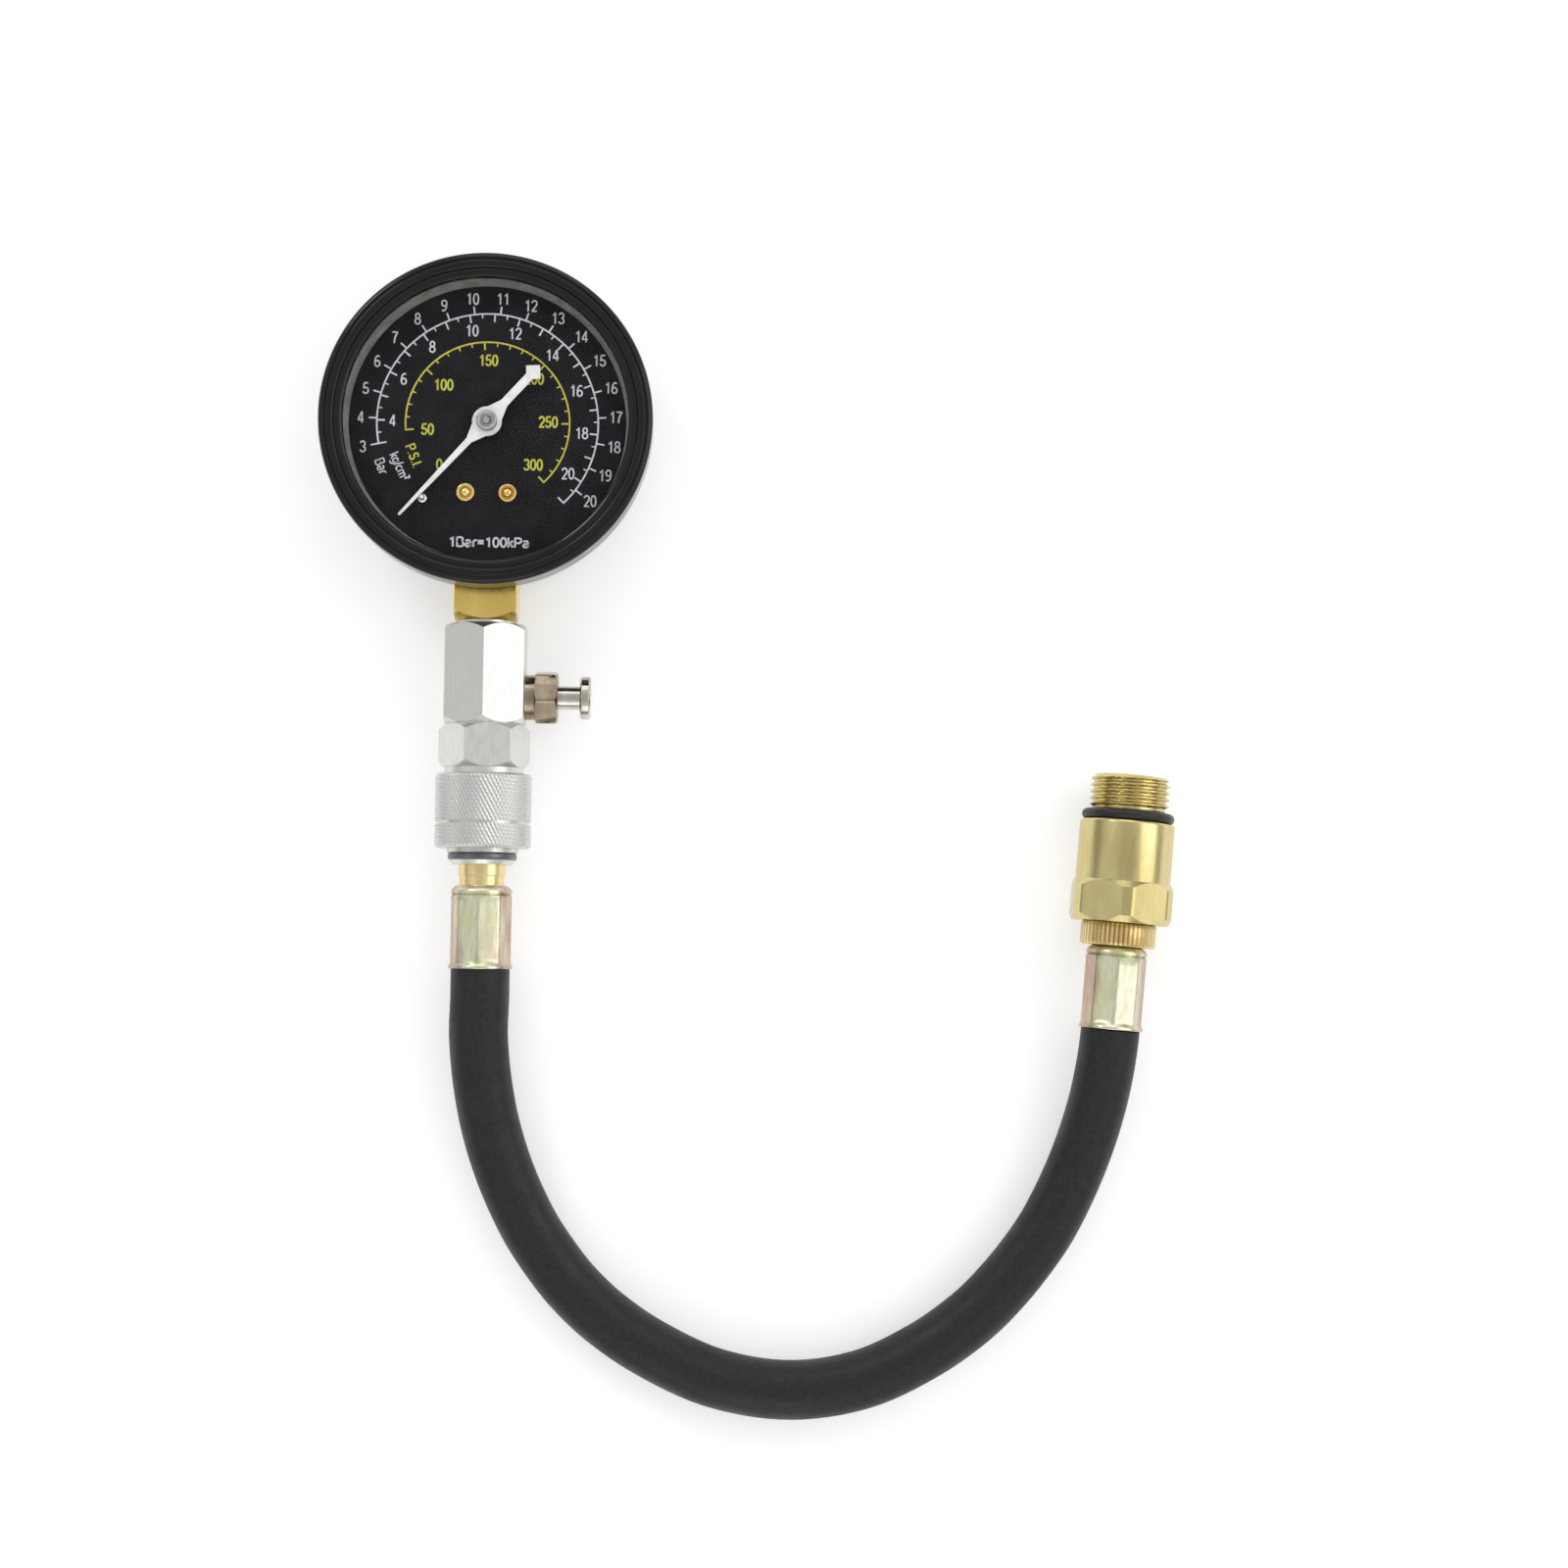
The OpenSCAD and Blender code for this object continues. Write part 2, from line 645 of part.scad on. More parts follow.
// Flat spiral from the collet to the first pillar
module hairspring() color(steel) translate([0, 0, spring_z]) linear_extrude(hairspring_t) {
    count = spiral_turns * 20;
    reach = norm(pillar_places[0]) - pillar_r - seat_gap;
    polygon(concat([for (i = [0:count]) spiral_point(i / count, 0)],
        [for (a = [0, 2]) reach * [cos(spiral_end_a - a), sin(spiral_end_a - a)]],
        [spiral_point(1 - 0.1 / count, spiral_strip)],
        [for (i = [count - 1:-1:0]) spiral_point(i / count, spiral_strip)]));
}

// Toothed sector with a windowed web and an arm for the link
module sector_gear() color(brass) translate([pivot_x, pivot_y, sector_z]) difference() {
    first = -8;
    last = 1;
    hub = 2.2 * unit;
    rim_w = 2 * unit;
    arm_w = 2.4;
    root = sector_r - gear_ded;
    linear_extrude(sector_t) difference() {
        union() {
            circle(hub);
            polygon(concat([[0, 0]], [for (i = [first:last])
                each tooth(sector_teeth, sector_r, sector_add, gear_ded, mesh_angle + i * gear_step)]));
            rotate(arm_rest) translate([0, -arm_w / 2]) square([arm_len, arm_w]);
            rotate(arm_rest) translate([arm_len, 0]) circle(arm_w / 2);
        }
        polygon(concat([for (i = [first + 1:last - 1]) let (a = mesh_angle + i * gear_step)
            (root - rim_w) * [cos(a), sin(a)]],
            [for (i = [last - 2, first + 2]) let (a = mesh_angle + i * gear_step)
                2 * hub * [cos(a), sin(a)]]));
    }
    translate([0, 0, -overrun]) cylinder(r = arbor_r + close_fit, h = sector_t + 2 * overrun);
    rotate(arm_rest) translate([arm_len, 0, -overrun])
        cylinder(r = pin_r + close_fit, h = sector_t + 2 * overrun);
}

module sector_shaft() color(steel) translate([pivot_x, pivot_y]) {
    translate([0, 0, plate_z]) cylinder(r = pivot_r, h = front_z + plate_t - plate_z);
    translate([0, 0, pillar_z + free_gap]) cylinder(r = arbor_r, h = pillar_len - 2 * free_gap);
}

// Flat bar from the sector's arm to the tube's tip. Its outer hole is open by some play
module link() color(brass) translate([0, 0, link_z]) {
    end_r = 1.3;
    angle = atan2(tip_y - joint_y, tip_x - joint_x);
    translate([joint_x, joint_y]) rotate(angle) difference() {
        linear_extrude(link_t) {
            translate([0, -end_r * 0.8]) square([link_len, end_r * 1.6]);
            circle(end_r);
            translate([link_len, 0]) circle(end_r);
        }
        translate([0, 0, -overrun]) {
            cylinder(r = pin_r + running_fit, h = link_t + 2 * overrun);
            translate([link_len, 0]) cylinder(r = pin_r + open_gap, h = link_t + 2 * overrun);
        }
    }
}

// Rivet with a head under the link
module rivet(x, y) color(steel) translate([x, y]) {
    head_t = 0.3;
    translate([0, 0, link_z - seat_gap - head_t]) cylinder(r = 1.8 * pin_r, h = head_t);
    translate([0, 0, link_z - seat_gap]) cylinder(r = pin_r, h = sector_z + sector_t - link_z + 2 * seat_gap);
}

module link_pin() rivet(joint_x, joint_y);

module tip_pin() rivet(tip_x, tip_y);

// Sector of a ring about the gauge's axis with the pressure tube's oval section
module tube_arc(half_t, half_w, from, to) rotate([0, 0, from]) rotate_extrude(angle = to - from)
    translate([coil_r, leg_z]) {
        translate([-half_t, -half_w + half_t]) square([2 * half_t, 2 * (half_w - half_t)]);
        for (side = [-1, 1]) translate([0, side * (half_w - half_t)]) circle(half_t);
    }

module pressure_tube() color(brass) difference() {
    tube_arc(tube_half_t, tube_half_w, tube_end, tube_start);
    tube_arc(tube_half_t - tube_wall, tube_half_w - tube_wall, tube_end - overrun, tube_start + overrun);
}

// Block that closes the tube, with an ear over the link
module tube_tip() color(brass) difference() {
    union() {
        rotate([0, 0, tip_end]) rotate_extrude(angle = tube_end - tip_end)
            translate([coil_r - tip_half_t, leg_z - tip_half_w]) square([2 * tip_half_t, 2 * tip_half_w]);
        translate([tip_x - 3 * pin_r, tip_y - 3 * pin_r, sector_z])
            cube([coil_r - tip_x, 6 * pin_r, sector_t]);
    }
    translate([tip_x, tip_y, sector_z - overrun]) cylinder(r = pin_r + close_fit, h = sector_t + 2 * overrun);
}

// Outline shared by the movement's two plates
module plate_outline() polygon(plate_points);

module movement_back_plate() color(brass) translate([0, 0, plate_z]) difference() {
    linear_extrude(plate_t) plate_outline();
    translate([0, 0, -overrun]) {
        cylinder(r = pivot_r + running_fit, h = plate_t + 2 * overrun);
        translate([pivot_x, pivot_y]) cylinder(r = pivot_r + running_fit, h = plate_t + 2 * overrun);
        mount_screw_places() cylinder(r = mount_screw_r + seat_gap, h = plate_t + 2 * overrun);
    }
}

module movement_front_plate() color(brass) translate([0, 0, front_z]) difference() {
    linear_extrude(plate_t) intersection() {
        plate_outline();
        translate([-2 * pivot_x, screw_y + post_r + free_gap]) square(4 * pivot_x);
    }
    translate([0, 0, -overrun]) {
        cylinder(r = arbor_r + running_fit, h = plate_t + 2 * overrun);
        translate([pivot_x, pivot_y]) cylinder(r = pivot_r + running_fit, h = plate_t + 2 * overrun);
        for (p = pillar_places) translate(p)
            cylinder(r = plate_screw_r + running_fit, h = plate_t + 2 * overrun);
    }
}

module mount_screw_places() for (side = [-1, 1]) translate([side * mount_screw_x, mount_screw_y]) children();

module pillars() color(brass) for (p = pillar_places) translate([p.x, p.y, pillar_z]) difference() {
    cylinder(r = pillar_r, h = pillar_len);
    translate([0, 0, pillar_len / 2]) cylinder(r = plate_screw_r, h = pillar_len);
}

// Cheese-head screw pointing down, its head standing on z = 0
module cheese_screw(shank_r, shank_len, head_r, head_t) difference() {
    slot_w = head_r * 0.4;
    union() {
        cylinder(r = head_r, h = head_t);
        translate([0, 0, -shank_len]) cylinder(r = shank_r, h = shank_len + head_t / 2);
    }
    translate([-head_r, -slot_w / 2, head_t / 2]) cube([2 * head_r, slot_w, head_t]);
}

module plate_screws() color(steel) for (p = pillar_places) translate([p.x, p.y, front_z + plate_t])
    cheese_screw(plate_screw_r - close_fit, plate_t + 1.8 * level, 1.9 * plate_screw_r, 0.8 * level);

module movement_screws() color(steel) mount_screw_places() translate([0, 0, plate_z + plate_t])
    cheese_screw(mount_screw_r, plate_t + mount_screw_len, 1.6 * mount_screw_r, 0.8 * level);

module case_screws() color(steel) case_screw_places() {
    cylinder(r1 = case_screw_head_r, r2 = case_screw_r, h = case_screw_head_t);
    cylinder(r = case_screw_r, h = case_screw_len);
}

// Socket inside the case, its square and its threaded spigot, with the passage to the pressure tube
module stem() color(brass) difference() {
    union() {
        translate([-block_w / 2, -block_t1, case_wall])
            cube([block_w, block_t1 - block_t0, block_top - case_wall]);
        translate([-block_w / 2, -block_t0, pad_bottom])
            cube([block_w, block_t0 - pad_t0, pad_top - pad_bottom]);
        dial_screw_places() translate([0, 0, case_wall]) cylinder(r = post_r, h = dial_bottom - case_wall);
        on_leg(block_t1) bar(4, stem_af, stem_reach - block_t1, stem_turned_r, 45);
        on_leg(block_t1) cylinder(r = spigot_r, h = stem_reach + spigot_len - block_t1);
    }
    on_leg(coil_r - overrun) cylinder(r = bore_r, h = stem_reach + spigot_len - coil_r + 2 * overrun);
    translate([-cross_len, -coil_r, leg_z]) rotate([0, 90, 0]) cylinder(r = cross_r, h = cross_len);
    tube_arc(tube_half_t + running_fit, tube_half_w + running_fit, slot_start, tube_start);
    dial_screw_places() translate([0, 0, dial_top - dial_screw_len - seat_gap])
        cylinder(r = dial_screw_shank_r + close_fit, h = dial_screw_len + overrun);
    mount_screw_places() translate([0, 0, pad_top - mount_screw_len - seat_gap])
        cylinder(r = mount_screw_r + close_fit, h = mount_screw_len + overrun);
    case_screw_places() cylinder(r = case_screw_r + close_fit, h = case_screw_len + seat_gap);
    case_screw_seats();
}

module stem_washer() color(pale_brass) on_leg(stem_reach) ring(spigot_r + running_fit, washer_r, washer_t);

// Hexagon bar with a socket at its top, a nipple at its foot and the bleed valve's port in its side
module hexagon_body() color(aluminium) difference() {
    union() {
        on_leg(body_t0) hex_bar(body_af, body_len, 30);
        on_leg(body_t1 - root_in) cylinder(r = nipple_r, h = nipple_len + root_in);
    }
    on_leg(body_t0 - overrun) cylinder(r = spigot_r + running_fit, h = spigot_len + socket_room + overrun);
    on_leg(body_t0) cylinder(r = passage_r, h = body_len + nipple_len + overrun);
    on_bleed() translate([0, 0, -bleed_spigot_len - seat_gap])
        cylinder(r = bleed_spigot_r + running_fit, h = bleed_spigot_len + body_af);
    on_bleed() translate([0, 0, -body_af / 2]) cylinder(r = seal_r + socket_room, h = body_af / 2);
}

// Valve body: spigot, shoulder and hexagon round the plunger's chamber
module bleed_body() color(nickel) on_bleed() difference() {
    union() {
        translate([0, 0, -bleed_spigot_len]) cylinder(r = bleed_spigot_r, h = bleed_spigot_len + root_in);
        cylinder(r = bleed_shoulder_d / 2, h = bleed_shoulder_t);
        translate([0, 0, bleed_shoulder_t]) hex_bar(bleed_af, bleed_hex_len, bleed_turn);
    }
    translate([0, 0, chamber_floor]) cylinder(r = chamber_r, h = chamber_end - chamber_floor);
    translate([0, 0, -bleed_spigot_len - overrun]) cylinder(r = port_r, h = bleed_spigot_len);
    cylinder(r = plunger_d / 2 + running_fit, h = bleed_len + overrun);
}

module bleed_plunger() color(nickel) on_bleed() {
    translate([0, 0, flange_z]) cylinder(r = flange_r, h = flange_t);
    translate([0, 0, flange_z]) cylinder(r = plunger_d / 2, h = bleed_len + plunger_out - flange_z);
    translate([0, 0, bleed_len]) cylinder(r = button_stud_r, h = plunger_out + button_t / 2);
    translate([0, 0, bleed_foot]) cylinder(r = poppet_pin_r, h = flange_z - bleed_foot);
    translate([0, 0, bleed_foot - poppet_t]) cylinder(r = seal_r, h = poppet_t);
}

module bleed_seal() color(rubber) on_bleed() translate([0, 0, bleed_foot])
    ring(poppet_pin_r + close_fit, seal_r, seal_t);

// Round button pressed on the plunger's end
module bleed_button() color(nickel) on_bleed() translate([0, 0, bleed_len + plunger_out]) {
    edge = 0.4;
    rotate_extrude() difference() {
        polygon([[0, 0], [button_d / 2 - edge, 0], [button_d / 2, edge], [button_d / 2, button_t - edge],
            [button_d / 2 - edge, button_t], [0, button_t]]);
        square([button_stud_r + close_fit, button_t / 2 + close_fit]);
    }
}

module bleed_spring() color(steel) on_bleed() translate([0, 0, chamber_floor + close_fit])
    coil_spring(bleed_coil_r, bleed_wire_r, flange_z - chamber_floor - 2 * close_fit, bleed_coils);

// Coupler body: hexagon, neck, ported tube and nose, bored for the body's nipple and the plug
module coupler_body() color(aluminium) on_leg(coupler_t) difference() {
    union() {
        hex_bar(coupler_af, coupler_hex_len, coupler_turn);
        translate([0, 0, coupler_hex_len / 2]) cylinder(r = neck_r, h = neck_end - coupler_hex_len / 2);
        rotate_extrude() difference() {
            polygon([[0, coupler_hex_len / 2], [tube_r, coupler_hex_len / 2], [tube_r, nose_end - nose_bevel],
                [nose_r, nose_end], [0, nose_end]]);
            translate([ring_r - ring_w - close_fit, ring_z - running_fit])
                square([ring_w, ring_t + 2 * running_fit]);
        }
    }
    translate([0, 0, -overrun]) cylinder(r = nipple_r + running_fit, h = nipple_len + socket_room + overrun);
    cylinder(r = passage_r, h = nose_end);
    translate([0, 0, plug_tip_z - free_gap]) cylinder(r = plug_r + running_fit, h = nose_end);
    translate([0, 0, plug_seal_z - seal_wire_r - running_fit])
        cylinder(r = plug_tip_r + 2 * seal_wire_r + 2 * running_fit, h = 2 * (seal_wire_r + running_fit));
    for (i = [0:ball_count - 1]) rotate(ball_turn + i * 360 / ball_count)
        translate([plug_r / 2, 0, ball_z]) rotate([0, 90, 0]) cylinder(r = ball_r + running_fit, h = tube_r);
}

// Sleeve: a land that runs on the tube, a cam that lets the balls out and a bore over the spring
module sleeve() color(nickel) on_leg(coupler_t) rotate_extrude() {
    edge = 0.7;
    line_w = 0.8;
    line_z = sleeve_end - 7.5 * line_w;
    cam_low = ball_z + (land_r - cam_mid_r) / cam_slope;
    cam_high = ball_z + (recess_r - cam_mid_r) / cam_slope;
    polygon([[neck_r + running_fit, sleeve_z], [sleeve_r - edge, sleeve_z], [sleeve_r, sleeve_z + edge],
        [sleeve_r, line_z], [sleeve_r - line_w / 2, line_z], [sleeve_r - line_w / 2, line_z + line_w],
        [sleeve_r, line_z + line_w], [sleeve_r, sleeve_end - edge], [sleeve_r - edge, sleeve_end],
        [lip_r, sleeve_end], [lip_r, sleeve_end + lip_len], [land_r, sleeve_end + lip_len],
        [land_r, sleeve_end - land_len], [recess_r, sleeve_end - land_len], [recess_r, cam_high],
        [land_r, cam_low], [land_r, spring_shoulder],
        [neck_r + running_fit, spring_shoulder]]);
}

module sleeve_spring() color(steel) on_leg(coupler_t) translate([0, 0, neck_end + close_fit])
    coil_spring(sleeve_coil_r, sleeve_wire_r, spring_shoulder - neck_end - 2 * close_fit, sleeve_coils, 20);

// One of the balls, numbered from 0, in its port
module lock_ball(i) color(steel) on_leg(coupler_t) rotate(ball_turn + i * 360 / ball_count)
    translate([ball_orbit, 0, ball_z]) sphere(ball_r);

module plug_seal() color(rubber) on_leg(coupler_t) translate([0, 0, plug_seal_z]) rotate_extrude()
    translate([plug_tip_r + seal_wire_r + running_fit, 0]) circle(seal_wire_r);

// Open ring that holds the sleeve on
module snap_ring() color(steel) on_leg(coupler_t) translate([0, 0, ring_z]) rotate(75)
    rotate_extrude(angle = 335) polygon([[ring_r - ring_w, 0], [ring_r - ring_bevel, 0],
        [ring_r, ring_bevel], [ring_r, ring_t - ring_bevel], [ring_r - ring_bevel, ring_t],
        [ring_r - ring_w, ring_t]]);

// Barbed tail that the hose is pushed on, pointing up its own Z
module barbs(length, bore) rotate_extrude() polygon(concat([[bore, 0], [nipple_root_r, 0]],
    [for (i = [0:barb_count - 1]) each [[nipple_barb_r, length - (barb_count - i) * barb_len],
        [nipple_root_r, length - (barb_count - i - 1) * barb_len]]], [[bore, length]]));

// Plug: a sealing tip, the balls' groove, a collar and a barbed tail
module plug() color(brass) on_leg(coupler_t) {
    step_z = nose_end + plug_show * 0.55;
    base_z = nose_end + plug_show;
    rotate_extrude() difference() {
        polygon([[plug_bore_r, plug_tip_z], [plug_tip_r, plug_tip_z], [plug_tip_r, plug_tip_z + plug_tip_len],
            [plug_r, plug_tip_z + plug_tip_len + root_in], [plug_r, step_z], [plug_neck_r, step_z],
            [plug_neck_r, base_z + tail_in], [plug_bore_r, base_z + tail_in]]);
        translate([ball_orbit, ball_z]) circle(ball_r + seat_gap);
    }
    translate([0, 0, base_z + tail_in]) barbs(tail_len_out, plug_bore_r);
}

// Crimped ferrule from its lip at z = 0 to its shoulder: flats, a rolled groove and a flared lip
module ferrule(neck) difference() {
    flats_top = ferrule_len - ferrule_top_len;
    union() {
        cylinder(r = ferrule_lip_r, h = ferrule_lip_t);
        intersection() {
            cylinder(r = crimp_r, h = flats_top + crimp_join);
            rotate(ferrule_turn)
                cylinder(r = crimp_af / 2 / cos(180 / 8), h = flats_top + crimp_join, $fn = 8);
        }
        translate([0, 0, flats_top]) rotate_extrude() difference() {
            union() {
                square([ferrule_r, ferrule_top_len - ferrule_shoulder]);
                square([ferrule_r - ferrule_shoulder, ferrule_top_len]);
                translate([ferrule_r - ferrule_shoulder, ferrule_top_len - ferrule_shoulder])
                    intersection() {
                        circle(ferrule_shoulder);
                        square(ferrule_shoulder);
                    }
            }
            translate([ferrule_r, ferrule_groove_up]) circle(ferrule_groove_r);
        }
    }
    translate([0, 0, -overrun]) cylinder(r = crimp_in_r, h = ferrule_len - ferrule_roof + overrun);
    cylinder(r = neck + close_fit, h = ferrule_len + overrun);
}

module upper_ferrule() color(zinc_yellow) on_leg(lip_t) rotate([180, 0, 0]) ferrule(plug_neck_r);

module lower_ferrule() color(zinc_yellow) on_far(0) ferrule(plug_neck_r);

// Unit vector
function unit(v) = v / norm(v);

// Ring of the hose's section round a point, square to a direction
function hose_ring(p, d) = let (side = unit(cross(d, [0, 0, 1])), up = cross(side, d))
    [for (k = [0:hose_sides - 1]) let (a = 360 * k / hose_sides) p + hose_r * (cos(a) * side + sin(a) * up)];

// Squeezed end of the hose between a ferrule and a barbed tail, from just inside the free hose
module hose_tail() translate([0, 0, -seat_gap])
    ring(nipple_barb_r + running_fit, crimp_in_r - running_fit, tail_len_out + seat_gap);

// Centre line of the hose, with its ends at the two lips
function hose_path() = concat([[0, -lip_t, leg_z]],
    [for (p = route_points) p + [0, -lip_t, hose_r + seat_gap]], [[far_x, far_y, far_z]]);

// Direction of a path at one of its points, square to the lips at its ends
function heading(path, i) = i == 0 ? [0, -1, 0]
    : i == len(path) - 1 ? [sin(far_lean), cos(far_lean), 0] : unit(path[i + 1] - path[i - 1]);

module hose() color(rubber) {
    path = hose_path();
    loft([for (i = [0:len(path) - 1]) hose_ring(path[i], heading(path, i))], hose_sides);
    on_leg(lip_t) rotate([180, 0, 0]) hose_tail();
    on_far(0) hose_tail();
}

// Hose end: a barbed tail, a neck, a straight-knurled collar and the thread that the adapter takes
module hose_end() color(pale_brass) on_far(0) {
    ribs = 50;
    rib_t = 0.35;
    root_r = collar_d / 2 - rib_t;
    thread_end = adapter_u + hose_thread_len;
    translate([0, 0, ferrule_len - tail_in]) rotate([180, 0, 0]) barbs(tail_len_out, plug_bore_r);
    difference() {
        union() {
            translate([0, 0, ferrule_len - tail_in]) cylinder(r = plug_neck_r, h = tail_in + edge_bevel);
            translate([0, 0, collar_u]) cylinder(r = root_r, h = collar_len);
            translate([0, 0, collar_u + edge_bevel]) linear_extrude(collar_len - 2 * edge_bevel)
                polygon([for (i = [0:2 * ribs - 1]) let (a = 180 * i / ribs)
                    (i % 2 == 0 ? collar_d / 2 : root_r - rib_t / 2) * [cos(a), sin(a)]]);
            translate([0, 0, adapter_u]) cylinder(r = hose_thread_r - undercut, h = hose_thread_len);
            translate([0, 0, adapter_u + undercut_len])
                cylinder(r = hose_thread_r, h = hose_thread_len - undercut_len);
        }
        translate([0, 0, ferrule_len - tail_in - overrun]) cylinder(r = plug_bore_r, h = thread_end);
        translate([0, 0, core_u]) cylinder(r = core_r + running_fit, h = thread_end);
    }
}

module collar_o_ring() color(rubber) on_far(adapter_u + small_cord / 2 + close_fit) rotate_extrude()
    translate([small_ring_r, 0]) circle(small_cord / 2);

// Check valve that holds the reading: its body, pin, spring and seal
module valve_core_body() color(brass) on_far(core_base) difference() {
    cylinder(r = core_r, h = core_len);
    translate([0, 0, core_sole]) cylinder(r = core_r - core_wall, h = core_len);
    translate([0, 0, -overrun]) cylinder(r = core_port_r, h = core_len);
}

module valve_pin() color(steel) on_far(core_base) {
    translate([0, 0, -root_in]) cylinder(r = valve_pin_r, h = core_len + root_in);
    translate([0, 0, valve_disc_u]) cylinder(r = valve_disc_r, h = valve_disc_t);
}

module valve_spring() color(steel) on_far(core_base + core_sole + close_fit) coil_spring(valve_coil_r,
    valve_wire_r, valve_disc_u - core_sole - 2 * close_fit, valve_coils, 12);

module valve_seal() color(rubber) on_far(core_base + valve_disc_u + valve_disc_t + close_fit)
    ring(valve_pin_r + close_fit, valve_disc_r, valve_seal_t);

// Adapter: hexagon, round shank, O-ring groove and the spark plug thread as a plain cylinder
module adapter() color(pale_brass) on_far(0) difference() {
    shank_end = adapter_hex_len + shank_len;
    thread_from = thread_u - adapter_u;
    thread_to = adapter_end - adapter_u;
    shank_r = shank_d / 2;
    union() {
        translate([0, 0, adapter_u]) bar(6, adapter_af, adapter_hex_len, adapter_turned_r, adapter_turn);
        translate([0, 0, adapter_u]) rotate_extrude() polygon([[0, root_in],
            [shank_r - edge_bevel, adapter_hex_len - edge_bevel], [shank_r, adapter_hex_len],
            [shank_r, shank_end - edge_bevel], [shank_r - edge_bevel, shank_end], [groove_r, shank_end],
            [groove_r, thread_from], [thread_d / 2, thread_from], [thread_d / 2, thread_to - edge_bevel],
            [thread_d / 2 - edge_bevel, thread_to], [0, thread_to]]);
    }
    translate([0, 0, adapter_u - overrun]) cylinder(r = adapter_bore_r, h = adapter_bore_len + overrun);
    translate([0, 0, adapter_u - overrun]) cylinder(r = small_ring_r + small_cord / 2 + running_fit,
        h = small_cord + 2 * close_fit + overrun);
    translate([0, 0, adapter_u]) cylinder(r = mouth_r, h = adapter_end);
}

module adapter_o_ring() color(rubber) on_far(groove_u + o_ring_cord / 2 + close_fit) rotate_extrude()
    translate([groove_r + o_ring_cord / 2 + close_fit, 0]) circle(o_ring_cord / 2);

case();
bezel();
lens();
lens_gasket();
dial();
dial_screws();
stop_pin();
pointer();
pointer_hub();
pinion_shaft();
hairspring();
sector_gear();
sector_shaft();
link();
link_pin();
tip_pin();
tube_tip();
pressure_tube();
movement_back_plate();
movement_front_plate();
pillars();
plate_screws();
movement_screws();
case_screws();
stem();
stem_washer();
hexagon_body();
bleed_body();
bleed_plunger();
bleed_button();
bleed_spring();
bleed_seal();
coupler_body();
sleeve();
sleeve_spring();
lock_ball(0);  // lock_ball_1
lock_ball(1);  // lock_ball_2
lock_ball(2);  // lock_ball_3
lock_ball(3);  // lock_ball_4
lock_ball(4);  // lock_ball_5
lock_ball(5);  // lock_ball_6
plug_seal();
snap_ring();
plug();
upper_ferrule();
hose();
lower_ferrule();
hose_end();
collar_o_ring();
valve_core_body();
valve_pin();
valve_spring();
valve_seal();
adapter();
adapter_o_ring();
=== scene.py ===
import bmesh
import bpy
import math
import numpy as np
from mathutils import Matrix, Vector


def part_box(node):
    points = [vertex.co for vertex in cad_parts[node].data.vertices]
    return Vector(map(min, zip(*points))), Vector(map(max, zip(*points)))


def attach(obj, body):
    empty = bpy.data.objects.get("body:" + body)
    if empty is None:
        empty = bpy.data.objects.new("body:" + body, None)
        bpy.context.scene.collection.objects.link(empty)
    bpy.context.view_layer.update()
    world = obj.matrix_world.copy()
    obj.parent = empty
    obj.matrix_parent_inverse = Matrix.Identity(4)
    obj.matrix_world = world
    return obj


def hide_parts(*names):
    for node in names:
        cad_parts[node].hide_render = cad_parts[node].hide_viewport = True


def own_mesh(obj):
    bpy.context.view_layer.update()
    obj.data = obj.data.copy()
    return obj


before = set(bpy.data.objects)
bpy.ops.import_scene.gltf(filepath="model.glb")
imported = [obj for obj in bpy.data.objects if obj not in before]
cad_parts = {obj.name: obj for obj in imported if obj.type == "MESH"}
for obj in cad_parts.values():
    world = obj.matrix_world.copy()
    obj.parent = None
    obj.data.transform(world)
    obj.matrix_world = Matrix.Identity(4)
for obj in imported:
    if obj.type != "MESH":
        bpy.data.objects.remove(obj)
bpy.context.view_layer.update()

# Camera
# The lens looks straight down on the tool as it lies on its back, from two thirds of a metre, as a
# hand-held camera over a table does.
camera_data = bpy.data.cameras.new("camera")
camera_data.lens = 65.63
camera_data.sensor_width = 36
camera_data.clip_start = 0.01
camera = bpy.data.objects.new("camera", camera_data)
camera.location = (0.04581, -0.11716, 0.6550)
camera.rotation_euler = [math.radians(a) for a in (3.329, -1.982, 0.721)]
bpy.context.scene.collection.objects.link(camera)
bpy.context.scene.camera = camera


# Hose
# Plain reinforced rubber hose, about 13 mm thick and bent by its own stiffness into a U between its two
# crimped ferrules. Its cover is matt black with the dull speckle of moulded rubber.
def tint(red, green, blue):
    """Linear colour of a screen colour from 0 to 255: the screen's curve is undone channel by channel."""
    c = np.array([red, green, blue]) / 255
    return tuple(np.where(c <= 0.04045, c / 12.92, ((c + 0.055) / 1.055) ** 2.4).tolist())


